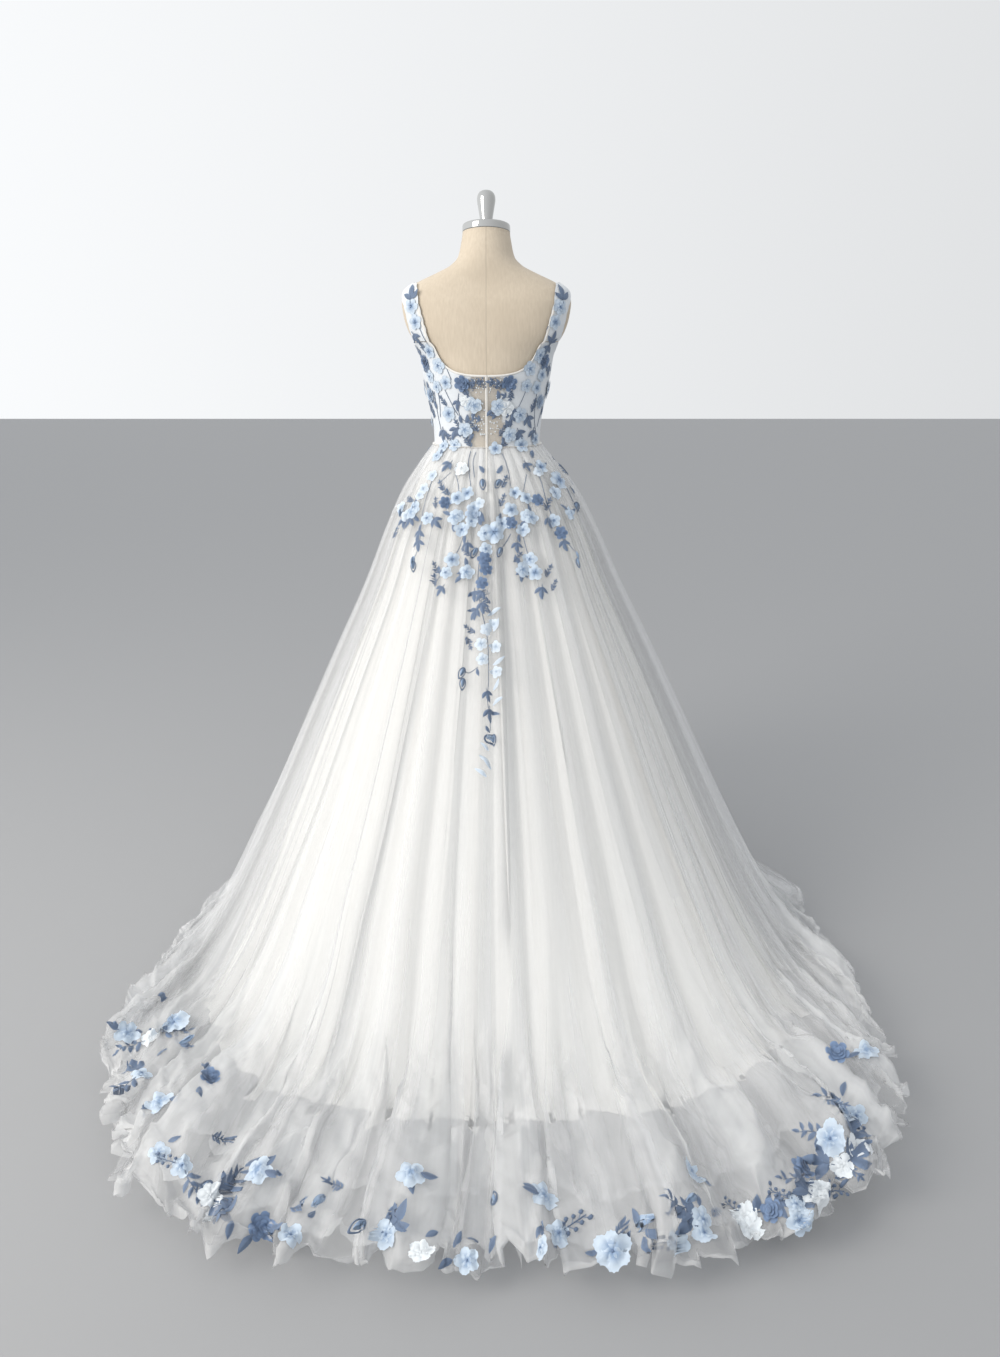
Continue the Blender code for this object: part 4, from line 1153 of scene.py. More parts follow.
def ringed_disc(work, shares, segments):
    """Rings about the middle, made from the rim inwards, and a fan that closes the heart."""
    bmesh.ops.create_circle(work, segments=segments, radius=1.0)
    edges = work.edges[:]
    last = shares[0]
    for share in shares[1:]:
        made = bmesh.ops.extrude_edge_only(work, edges=edges)["geom"]
        inner = [item for item in made if isinstance(item, bmesh.types.BMVert)]
        edges = [item for item in made if isinstance(item, bmesh.types.BMEdge)]
        bmesh.ops.scale(work, vec=(share / last, share / last, 1), verts=inner)
        last = share
    bmesh.ops.edgeloop_fill(work, edges=edges)
    heart = max(work.faces, key=lambda face: len(face.verts))
    bmesh.ops.poke(work, faces=[heart])
    bmesh.ops.recalc_face_normals(work, faces=work.faces)
    if sum(face.normal.z for face in work.faces) < 0:
        bmesh.ops.reverse_faces(work, faces=work.faces)


def make_flower_template(name, petals, notch, rise, cup, wobble_seed):
    """A flower with rounded petals that rise from its heart and curl at their rims."""
    dice = random.Random(wobble_seed)
    work = bmesh.new()
    ringed_disc(work, (1.0, 0.93, 0.8, 0.62, 0.42, 0.22), petals * 9)
    spread = [dice.uniform(0.88, 1.08) for _ in range(petals)]
    tones = []
    for vertex in work.verts:
        share = math.hypot(vertex.co.x, vertex.co.y)
        angle = math.atan2(vertex.co.y, vertex.co.x) % math.tau
        petal = int(angle / math.tau * petals) % petals
        across = angle / math.tau * petals - petal
        roundness = math.sin(math.pi * across) ** 0.42
        frill = 1 + 0.03 * math.sin(9 * math.pi * across) * share
        radius = share * (1 - notch * (1 - roundness) * share) * spread[petal] * frill
        lift = rise * math.sin(math.pi * min(1.0, share * 1.25)) * roundness
        curl = cup * max(0.0, share - 0.55) ** 1.5
        vertex.co.x = radius * math.cos(angle)
        vertex.co.y = radius * math.sin(angle)
        vertex.co.z = 0.03 + lift + curl * roundness + 0.05 * share * roundness
        tones.append(min(1.0, max(0.0, share * 2.2 - 0.50 - 0.22 * (1 - roundness))))
    store_template(name, work, tones)


def make_rose_template(name, wobble_seed):
    """A rose of three whorls of petals around a turned-in heart."""
    dice = random.Random(wobble_seed)
    work = bmesh.new()
    tones = []
    for scale, base, petals in ((1.0, 0.02, 6), (0.74, 0.10, 5), (0.5, 0.20, 4), (0.28, 0.27, 3)):
        ring = bmesh.new()
        ringed_disc(ring, (1.0, 0.8, 0.55, 0.3), petals * 6)
        spin = dice.uniform(0, math.tau)
        for vertex in ring.verts:
            share = math.hypot(vertex.co.x, vertex.co.y)
            angle = math.atan2(vertex.co.y, vertex.co.x) % math.tau
            across = (angle / math.tau * petals) % 1.0
            roundness = math.sin(math.pi * across) ** 0.5
            radius = scale * share * (1 - 0.3 * (1 - roundness) * share)
            vertex.co.x = radius * math.cos(angle + spin)
            vertex.co.y = radius * math.sin(angle + spin)
            vertex.co.z = base + 0.13 * share**2 * roundness + 0.02
            tones.append(0.15 + 0.7 * max(0.0, share - 0.6) / 0.4 * roundness)
        whorl = stored_mesh("whorl", ring)
        work.from_mesh(whorl)
        bpy.data.meshes.remove(whorl)
    store_template(name, work, tones)


def make_leaf_template(name, width, fold, saw):
    """A pointed leaf along +Y from its stalk, with a ridge in its middle and a toothed edge."""
    work = bmesh.new()
    bmesh.ops.create_grid(work, x_segments=6, y_segments=14, size=1)
    for vertex in work.verts:
        across, along = vertex.co.x, (vertex.co.y + 1) / 2
        half = width * math.sin(math.pi * along**0.85) ** 0.85
        tooth = 1 + saw * math.sin(along * 26 * math.pi / 2) * abs(across)
        bend = 0.06 * math.sin(math.pi * along)
        vertex.co.x = across * half * tooth + bend
        vertex.co.y = along
        vertex.co.z = 0.03 + fold * (1 - abs(across)) * math.sin(math.pi * min(1, along + 0.04))
    bmesh.ops.remove_doubles(work, verts=work.verts, dist=0.0001)
    tones = []
    for vertex in work.verts:
        half = width * max(0.05, math.sin(math.pi * min(0.98, vertex.co.y) ** 0.85) ** 0.85)
        tones.append(min(1.0, 0.2 + 0.7 * abs(vertex.co.x) / max(half, 0.02)))
    store_template(name, work, tones)


def append_shape(work, shape, place):
    """Add a finished motif to another one, in its place."""
    first = len(work.verts)
    work.from_mesh(template(shape))
    work.verts.ensure_lookup_table()
    bmesh.ops.transform(work, matrix=place, verts=work.verts[first:])


def add_stalk(work, segments, half_width, start, length, ridge, lift, bow=0.0, waves=0.0):
    """A narrow ridge along +Y that bows aside in a wave."""
    stalk = bmesh.ops.create_grid(work, x_segments=2, y_segments=segments, size=1)["verts"]
    for vertex in stalk:
        across, share = vertex.co.x, (vertex.co.y + 1) / 2
        aside = across * half_width + bow * math.sin(share * waves)
        vertex.co = (aside, share * length + start, ridge * (1 - abs(across)) + lift)


def turned_and_sized(spot, turn, size):
    """A place with a turn in degrees about +Z and a size."""
    turned = Matrix.Rotation(math.radians(turn), 4, "Z")
    return Matrix.Translation(spot) @ turned @ Matrix.Scale(size, 4)


def make_sprig_template(name, leaves, wobble_seed):
    """A thin stalk along +Y with small leaves on both of its sides."""
    dice = random.Random(wobble_seed)
    work = bmesh.new()
    for k in range(leaves):
        share = (k + 0.5) / leaves
        side = -1 if k % 2 else 1
        spot = (0.04 * math.sin(share * 3), share * 0.82, 0)
        turn = -side * dice.uniform(34, 62)
        size = dice.uniform(0.26, 0.42) * (1.1 - 0.5 * share)
        append_shape(work, "small_leaf", turned_and_sized(spot, turn, size))
    append_shape(work, "small_leaf", turned_and_sized((0, 0.78, 0), 0, 0.28))
    add_stalk(work, 10, 0.022, 0.0, 0.85, 0.05, 0.015, 0.04, 3)
    store_template(name, work, [0.35] * len(work.verts))


def make_trio_template(name):
    """Three leaves that spread from one short stalk along +Y."""
    work = bmesh.new()
    for turn, size, start in ((52, 0.78, 0.16), (-46, 0.82, 0.20), (4, 0.95, 0.34)):
        append_shape(work, "broad_leaf", turned_and_sized((0, start, 0), turn, size))
    add_stalk(work, 5, 0.035, -0.1, 0.5, 0.04, 0.012)
    store_template(name, work)


def make_branch_template(name, leaves, wobble_seed):
    """A bent stalk along +Y with leaves on both sides and one at its tip."""
    dice = random.Random(wobble_seed)
    work = bmesh.new()
    for k in range(leaves):
        share = (k + 1) / leaves
        side = -1 if k % 2 else 1
        turn = 4 if k == leaves - 1 else side * dice.uniform(38, 62)
        spot = (0.22 * math.sin(math.pi * share), 2.1 * share, 0.0)
        size = (0.95 - 0.35 * share) * dice.uniform(0.85, 1.1)
        append_shape(work, "broad_leaf", turned_and_sized(spot, turn, size))
    add_stalk(work, 12, 0.032, -0.1, 2.15, 0.04, 0.012, 0.22, math.pi)
    store_template(name, work)


def make_berry_template(name, berries, wobble_seed):
    """A branching stalk along +Y with a round berry at the end of each twig."""
    dice = random.Random(wobble_seed)
    work = bmesh.new()
    for k in range(berries):
        share = (k + 0.6) / berries
        side = (-1 if k % 2 else 1) * (1 - share * 0.5)
        spot = Vector((side * dice.uniform(0.16, 0.30), share * 0.95, 0.07))
        ball = bmesh.ops.create_icosphere(work, subdivisions=1, radius=0.085)["verts"]
        bmesh.ops.scale(work, vec=(1, 1, 0.7), verts=ball)
        bmesh.ops.translate(work, vec=spot, verts=ball)
        twig = bmesh.ops.create_grid(work, x_segments=1, y_segments=2, size=1)["verts"]
        root = Vector((0, max(0.0, share * 0.95 - 0.16), 0.03))
        aim = spot - root
        for vertex in twig:
            along = (vertex.co.y + 1) / 2
            vertex.co = root + aim * along + Vector((vertex.co.x * 0.018, 0, 0))
    add_stalk(work, 8, 0.022, 0.0, 0.85, 0.04, 0.015)
    store_template(name, work, [0.3] * len(work.verts))


def make_ring_template(name):
    """The raised outline of a bud: a loop of satin stitch about an open middle."""
    work = bmesh.new()
    bmesh.ops.create_circle(work, segments=28, radius=1.0)
    edges = work.edges[:]
    for share in (0.93, 0.80, 0.74):
        made = bmesh.ops.extrude_edge_only(work, edges=edges)["geom"]
        inner = [item for item in made if isinstance(item, bmesh.types.BMVert)]
        edges = [item for item in made if isinstance(item, bmesh.types.BMEdge)]
        for vertex in inner:
            reach = math.hypot(vertex.co.x, vertex.co.y)
            vertex.co.x *= share / reach
            vertex.co.y *= share / reach
    for vertex in work.verts:
        share = math.hypot(vertex.co.x, vertex.co.y)
        angle = math.atan2(vertex.co.y, vertex.co.x)
        reach = 0.5 * share
        vertex.co.x = reach * math.cos(angle) * 0.62
        vertex.co.y = 0.5 + reach * math.sin(angle) * (1 + 0.35 * max(0, math.sin(angle)) ** 6)
        vertex.co.z = 0.07 if 0.76 < share < 0.97 else 0.0
    bmesh.ops.recalc_face_normals(work, faces=work.faces)
    store_template(name, work, [0.2] * len(work.verts))


def make_bud_template(name):
    """A closed bud on +Y: a swollen drop with a small cup of leaves at its foot."""
    work = bmesh.new()
    bmesh.ops.create_uvsphere(work, u_segments=14, v_segments=8, radius=1.0)
    for vertex in work.verts:
        vertex.co.z, vertex.co.y = vertex.co.y, vertex.co.z
    bmesh.ops.recalc_face_normals(work, faces=work.faces)
    for vertex in work.verts:
        along = (vertex.co.y + 1) / 2
        slim = 0.30 * (1 - 0.55 * along)
        vertex.co.x *= slim
        vertex.co.z = 0.10 + vertex.co.z * slim * 0.55
        vertex.co.y = 0.15 + along * 0.85
    tones = [0.3 + 0.6 * (vertex.co.y - 0.15) / 0.85 for vertex in work.verts]
    for turn in (-26, 0, 26):
        append_shape(work, "small_leaf", turned_and_sized((0, 0, 0), turn, 0.46))
    tones += [0.05] * (len(work.verts) - len(tones))
    store_template(name, work, tones)


def make_templates():
    """All motifs that are sewn on or embroidered, one unit in radius or in length."""
    make_leaf_template("broad_leaf", 0.21, 0.05, 0.05)
    make_leaf_template("slim_leaf", 0.14, 0.04, 0.0)
    make_leaf_template("small_leaf", 0.19, 0.06, 0.0)
    make_flower_template("round_flower", 5, 0.42, 0.10, 0.10, 3)
    make_flower_template("full_flower", 6, 0.34, 0.12, 0.12, 8)
    make_flower_template("inner_flower", 5, 0.38, 0.16, 0.20, 14)
    make_rose_template("rose", 6)
    make_sprig_template("sprig", 9, 4)
    make_trio_template("leaf_trio")
    make_branch_template("leaf_branch", 7, 33)
    make_berry_template("berry_sprig", 7, 21)
    make_ring_template("bud_outline")
    make_bud_template("bud")
    ball = bmesh.new()
    bmesh.ops.create_icosphere(ball, subdivisions=2, radius=1.0)
    store_template("berry", ball, [0.3] * len(ball.verts))


class Cloth:
    """The surfaces that motifs lie on, and the ways to find a place on them."""

    def __init__(self, pieces):
        graph = bpy.context.evaluated_depsgraph_get()
        self.trees = [BVHTree.FromObject(piece, graph) for piece in pieces]

    def first_hit(self, start, direction, reach=10.0):
        best = None
        for tree in self.trees:
            place, normal, _, distance = tree.ray_cast(start, direction, reach)
            if place is not None and (best is None or distance < best[2]):
                best = (place, normal if normal.dot(direction) < 0 else -normal, distance)
        return best

    def seen_at(self, point):
        """The place and the soft normal of the cloth where the camera sees this point."""
        hit = self.first_hit(CAMERA_PLACE, (Vector(point) - CAMERA_PLACE).normalized())
        return None if hit is None else self.soft_normal(hit[0], hit[1])

    def soft_normal(self, place, normal, reach=0.014):
        """The mean normal of the cloth about a place, so that motifs bridge narrow folds."""
        across = normal.orthogonal().normalized()
        along = normal.cross(across)
        total = normal.copy()
        for step in range(8):
            angle = step * math.tau / 8
            offset = (across * math.cos(angle) + along * math.sin(angle)) * reach
            hit = self.first_hit(place + offset + normal * 0.02, -normal, 0.05)
            if hit is not None and hit[1].dot(normal) > 0.3:
                total += hit[1]
        return place, total.normalized()

    def under(self, place, normal, reach=0.025):
        """The cloth under a point near it, along a normal."""
        hit = self.first_hit(place + normal * reach, -normal, 2.2 * reach)
        return None if hit is None else hit[0]


def sew_on(work, shape, cloth, place, normal, heading, size, lift=0.0012, rise=1.0):
    """Lay a motif on the cloth: it follows the folds under it and never sinks into them."""
    along = heading - normal * heading.dot(normal)
    if along.length < 1e-5:
        along = normal.orthogonal()
    along.normalize()
    across = along.cross(normal).normalized()
    first = len(work.verts)
    work.from_mesh(template(shape))
    work.verts.ensure_lookup_table()
    for vertex in work.verts[first:]:
        offset = across * (vertex.co.x * size) + along * (vertex.co.y * size)
        flat = place + offset
        below = cloth.under(flat, normal)
        depth = 0.0 if below is None else (below - flat).dot(normal)
        depth = max(depth, -0.35 * offset.length)
        vertex.co = flat + normal * (depth + lift + vertex.co.z * size * rise)


def heading_from(angle):
    """A direction across the back, by its turn from straight up towards the wearer's left."""
    return Vector((math.sin(angle), 0.0, math.cos(angle)))


def finish_motifs(name, work):
    """The sewn motifs of one finish as a single piece."""
    mesh = stored_mesh(name, work)
    mesh.shade_smooth()
    return linked_object(name, mesh)


class DRESS_OT_make_form(bpy.types.Operator):
    """Pad the form, spin its metal neck cap and knob, and finish its stand"""

    bl_idname = "dress.make_form"
    bl_label = "Make the form"

    def execute(self, context):
        settings = looks("dress_form")
        neck = FORM_SECTIONS[-1]
        shoulders = np.linspace(neck.height, 1.400, 34)
        trunk = np.linspace(1.394, FORM_SECTIONS[0].height, 46)
        grid = np.meshgrid(np.linspace(0, 360, 121), np.concatenate([shoulders, trunk]))
        cover = grid_object("form_cover", form_points(*grid), closed=True)
        work = bmesh.new()
        work.from_mesh(cover.data)
        rims = [edge for edge in work.edges if edge.is_boundary]
        bmesh.ops.holes_fill(work, edges=rims, sides=0)
        work.to_mesh(cover.data)
        work.free()
        cover.data.set_sharp_from_angle(angle=math.radians(50))
        pitch = math.tau / 20 / settings.thread_pitch
        linen = woven_material(
            "oat linen", settings.cover, settings.cover_slub, pitch, 0.9, sheen=0.15
        )
        mark_centre_seam(linen, settings.cover_slub)
        keep(cover, linen, ["form_torso"])
        base = Vector((0, neck.middle_y, neck.height + 0.0003))
        rim = neck.half_width + 0.0005
        cap_profile = (
            (0.0, 0.0170), (0.020, 0.0170), (rim - 0.006, 0.0168), (rim - 0.003, 0.0163),
            (rim - 0.0012, 0.0152), (rim - 0.0003, 0.0135), (rim, 0.0115),
            (rim, 0.0012), (rim - 0.0006, 0.0), (0.0, 0.0),
        )
        chrome = metal_material("polished metal", (0.56, 0.56, 0.55), 0.06)
        cap = turned_piece("neck_cap", cap_profile, base, NECK_TILT)
        keep(cap, chrome, ["form_neck_cap"])
        axis = Vector((0, -math.sin(NECK_TILT), math.cos(NECK_TILT)))
        knob_profile = (
            (0.0, 0.0700), (0.0060, 0.0695), (0.0110, 0.0680), (0.0150, 0.0654),
            (0.0178, 0.0617), (0.0195, 0.0573), (0.0202, 0.0525), (0.0201, 0.0475),
            (0.0193, 0.0420), (0.0180, 0.0350), (0.0163, 0.0250), (0.0147, 0.0160),
            (0.0139, 0.0105), (0.0135, 0.0070), (0.0140, 0.0052), (0.0155, 0.0044),
            (0.0155, 0.0006), (0.0149, 0.0), (0.0, 0.0),
        )
        knob = turned_piece("cap_knob", knob_profile, base + axis * 0.0173, NECK_TILT)
        keep(knob, chrome, ["form_knob"])
        steel = metal_material("satin steel", (0.60, 0.60, 0.61), 0.32)
        for node in ("form_pole", "form_socket", "form_foot"):
            refinish(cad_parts[node], steel)
        return {"FINISHED"}


class DRESS_OT_make_skirt(bpy.types.Operator):
    """Hang the lining and three layers of tulle, with the train in a heap on the floor"""

    bl_idname = "dress.make_skirt"
    bl_label = "Make the skirt"

    def execute(self, context):
        settings = looks("dress_skirt")
        lining, _, _ = skirt_points(LINING)
        satin = plain_material("ivory satin", settings.lining, 0.5, sheen=0.3)
        piece = grid_object(LINING.name, keep_in_box(lining, 0.0005), closed=True)
        nodes = ["lining_front", "lining_back_left", "lining_back_right"]
        keep(piece, satin, nodes)
        for hang in TULLE:
            layer = hang.layer
            points, places, turns = skirt_points(layer)
            creases = crease_waves(points, places, hang.seed, hang.start, hang.height)
            points[..., 2] += creases * heaped_share(turns)
            net = tulle_material(
                layer.name + "_net", settings.tulle, settings.least_cover, settings.most_cover
            )
            kept = keep_in_box(points, hang.gap)
            dense = net_density(places, turns, layer)
            for name, part in split_columns(layer.name, turns):
                panel = grid_object(name, kept[:, part], dense=dense[:, part])
                replaced = [name.replace(layer.name, hang.nodes)] if hang.nodes else []
                keep(panel, net, replaced)
        return {"FINISHED"}


class DRESS_OT_make_bodice(bpy.types.Operator):
    """Fit the five panels of the bodice over the form"""

    bl_idname = "dress.make_bodice"
    bl_label = "Make the bodice"

    def execute(self, context):
        settings = looks("dress_bodice")
        lace = lace_material("lace ground", settings.ground, settings.sheer_width)
        for panel in BODICE_PANELS:
            turns = np.linspace(panel.start, panel.end, int((panel.end - panel.start) / 1.5) + 1)
            mirrored = np.where(turns > 180, 360 - turns, turns)
            shares = np.linspace(1, 0, 44)[:, None]
            heights = BODICE_FOOT + (top_edge_heights(mirrored)[None, :] - BODICE_FOOT) * shares
            grid_turns = np.broadcast_to(turns[None, :], heights.shape)
            points = worn_points(grid_turns, heights, BODICE_OUT)
            piece = grid_object("dress_" + panel.name, points)
            keep(piece, lace, [panel.name])
        return {"FINISHED"}


class DRESS_OT_make_straps(bpy.types.Operator):
    """Lay a lace strap with scalloped edges over each shoulder"""

    bl_idname = "dress.make_straps"
    bl_label = "Make the straps"

    def execute(self, context):
        settings = looks("dress_bodice")
        lace = lace_material("strap lace", settings.ground, 0.0)
        keys = np.arange(len(STRAP_STATIONS), dtype=float)
        places = np.linspace(0, keys[-1], 110)
        shares = np.linspace(0, 1, 19)

        def at(field):
            return smooth_between(keys, column_of(STRAP_STATIONS, field), places)[:, None]

        scallop = 0.035 * np.abs(np.sin(places * math.pi * 1.3))[:, None]
        across = shares[None, :] * (1 + scallop) - scallop * (1 - shares[None, :])
        turns = at("inner_turn") + (at("outer_turn") - at("inner_turn")) * across
        heights = at("inner_height") + (at("outer_height") - at("inner_height")) * across
        for side in ("left", "right"):
            turned = turns if side == "left" else 360.0 - turns
            points = worn_points(turned, heights, STRAP_OUT)
            if side == "left":
                points = points[::-1]
            piece = grid_object(f"dress_strap_{side}", points)
            keep(piece, lace, [f"strap_{side}"])
        return {"FINISHED"}


def smooth_once(values):
    """Draw each value but the first and last towards its neighbours."""
    values[1:-1] = (values[:-2] + 2 * values[1:-1] + values[2:]) / 4


def edge_ribbon(name, turns, heights, width, out, rise, side):
    """A narrow rounded ribbon that lies just inside an edge given by turns and heights."""
    reach = BACK_RADIUS * math.radians(1.0)
    along_turn = np.gradient(turns) * reach
    along_height = np.gradient(heights)
    length = np.hypot(along_turn, along_height)
    profile = np.linspace(0, 1, 7)
    offsets = profile[None, :] * width
    inward_turn = (along_height / length)[:, None] * offsets / reach
    inward_height = (-along_turn / length)[:, None] * offsets
    lifts = out + rise * np.sin(np.pi * np.clip(profile, 0.02, 0.98)) ** 0.5
    grid_turns = turns[:, None] + inward_turn
    grid_heights = heights[:, None] + inward_height
    if side == "right":
        grid_turns = 360.0 - grid_turns
    layers = [
        worn_points(grid_turns[:, i], grid_heights[:, i], lifts[i]) for i in range(len(profile))
    ]
    points = np.stack(layers, axis=1)
    return grid_object(name, points[::-1] if side == "left" else points)


class DRESS_OT_make_trims(bpy.types.Operator):
    """Bind the scooped back, close the zip and finish the waist tape"""

    bl_idname = "dress.make_trims"
    bl_label = "Make the trims"

    def execute(self, context):
        settings = looks("dress_bodice")
        dark = [value * 0.92 for value in settings.binding]
        tape = woven_material("white tape", settings.binding, dark, 520.0, 0.6)
        refinish(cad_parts["waist_tape"], tape)
        edge_turns = np.linspace(1.4, 58.2, 120)
        bound = STRAP_STATIONS[:4]
        steps = np.linspace(0, len(bound) - 1, 60)
        strap_turns = smooth_between(range(len(bound)), column_of(bound, "inner_turn"), steps)
        strap_heights = smooth_between(range(len(bound)), column_of(bound, "inner_height"), steps)
        turns = np.concatenate([edge_turns, strap_turns])
        heights = np.concatenate([top_edge_heights(edge_turns), strap_heights])
        for _ in range(12):
            smooth_once(turns)
            smooth_once(heights)
        for side in ("left", "right"):
            piece = edge_ribbon(
                f"scoop_binding_{side}", turns, heights + 0.0004, 0.0045, BODICE_OUT, 0.0016, side
            )
            keep(piece, tape, [f"back_binding_{side}"])
        keep(self.zip_cord(), tape, ["back_zip"])
        return {"FINISHED"}

    def zip_cord(self):
        """The zip's cord from the scoop over the waist and down the skirt's seam."""
        cloth = Cloth([bpy.data.objects["tulle_over_back_left"]])
        heights = np.linspace(1.2525, 1.008, 150)
        worn = np.maximum(heights, ZIP_NARROW_BELOW)
        spine = worn_points(np.zeros(heights.shape), worn, BODICE_OUT)
        for k, height in enumerate(heights):
            if height < ZIP_ON_SKIRT_BELOW:
                hit = cloth.first_hit(Vector((0.0012, 0.5, height)), Vector((0, -1, 0)))
                spine[k] = (0.0, hit[0].y if hit else spine[k - 1][1], height)
        for _ in range(6):
            smooth_once(spine)
        profile = np.linspace(-1, 1, 11)
        half = np.where(heights > ZIP_NARROW_BELOW, 0.0027, 0.0016)[:, None] * profile[None, :]
        ridge = 0.0008 + 0.0011 * np.exp(-((profile / 0.42) ** 4))
        teeth = 0.0002 * np.sin(heights * math.tau / ZIP_TOOTH_PITCH)[:, None]
        ridge = ridge[None, :] + teeth * (np.abs(profile)[None, :] < 0.4)
        points = np.empty((len(heights), len(profile), 3))
        points[..., 0] = half
        points[..., 1] = spine[:, 1:2] + ridge - 0.12 * (1 - np.cos(half / BACK_RADIUS))
        points[..., 2] = heights[:, None]
        return grid_object("centre_back_zip", points)


SewnKind = namedtuple("SewnKind", "shape size spread finish")
KINDS = {
    "flower": SewnKind("round_flower", 0.0165, 0.12, "pale"),
    "large_flower": SewnKind("full_flower", 0.0250, 0.10, "pale"),
    "faint_flower": SewnKind("round_flower", 0.0140, 0.10, "faint"),
    "white_flower": SewnKind("full_flower", 0.0175, 0.12, "white"),
    "rose": SewnKind("rose", 0.0160, 0.10, "dark"),
    "pale_rose": SewnKind("rose", 0.0170, 0.10, "pale"),
    "leaf": SewnKind("broad_leaf", 0.0200, 0.15, "leaf"),
    "trio": SewnKind("leaf_trio", 0.0250, 0.12, "leaf"),
    "large_trio": SewnKind("leaf_trio", 0.0330, 0.05, "leaf"),
    "small_trio": SewnKind("leaf_trio", 0.0150, 0.15, "leaf"),
    "berries": SewnKind("berry_sprig", 0.0220, 0.15, "leaf"),
    "dark_leaf": SewnKind("broad_leaf", 0.0260, 0.15, "leaf"),
    "faint_leaf": SewnKind("slim_leaf", 0.0300, 0.15, "faint"),
    "sprig": SewnKind("sprig", 0.0320, 0.15, "leaf"),
    "bud": SewnKind("bud", 0.0220, 0.10, "pale"),
    "open_bud": SewnKind("bud_outline", 0.0230, 0.10, "leaf"),
}
FINISHES = ("pale", "white", "faint", "dark", "leaf")
UPRIGHT = (
    "leaf", "dark_leaf", "faint_leaf", "sprig", "bud", "open_bud", "trio", "large_trio",
    "small_trio", "berries",
)
HANGING = ("trio", "bud", "open_bud", "leaf")


def blend_colors(first, second, first_share, second_share):
    return [a * first_share + b * second_share for a, b in zip(first, second)]


def all_cloth():
    """The surfaces that carry motifs."""
    names = ["dress_strap_left", "dress_strap_right"]
    names += ["dress_" + panel.name for panel in BODICE_PANELS]
    names += ["tulle_over_back_left", "tulle_over_front", "tulle_over_back_right"]
    return Cloth([bpy.data.objects[name] for name in names])


def sew_shape(works, cloth, made, place, normal, heading, size):
    """Sew a kind's shape, and the pale filling of an outlined bud."""
    sew_on(works[made.finish], made.shape, cloth, place, normal, heading, size)
    if made.shape == "bud_outline":
        sew_on(works["pale"], "bud", cloth, place, normal, heading, size * 0.86, 0.0006)


def sew_kind(works, cloth, kind, place, normal, angle, dice, scale=1.0):
    """Sew one motif of a kind; a flower gets berries and sometimes an inner flower in its heart."""
    made = KINDS[kind]
    size = made.size * dice.uniform(1 - made.spread, 1 + made.spread) * scale
    heading = heading_from(angle)
    start = place
    if kind in UPRIGHT:
        along = heading - normal * heading.dot(normal)
        if along.length > 1e-5:
            start = place - along.normalized() * (size * 0.45)
    sew_shape(works, cloth, made, start, normal, heading, size)
    if made.shape in ("round_flower", "full_flower"):
        heart = works["dark" if made.finish == "pale" else made.finish]
        if dice.random() < 0.5:
            turned = heading_from(angle + 0.6)
            inner = works[made.finish]
            sew_on(inner, "inner_flower", cloth, place, normal, turned, size * 0.55, 0.0024)
        for k in range(3):
            spot = place + heading_from(angle + k * 2.1) * (size * 0.13)
            sew_on(heart, "berry", cloth, spot, normal, heading, size * 0.075, 0.0034)


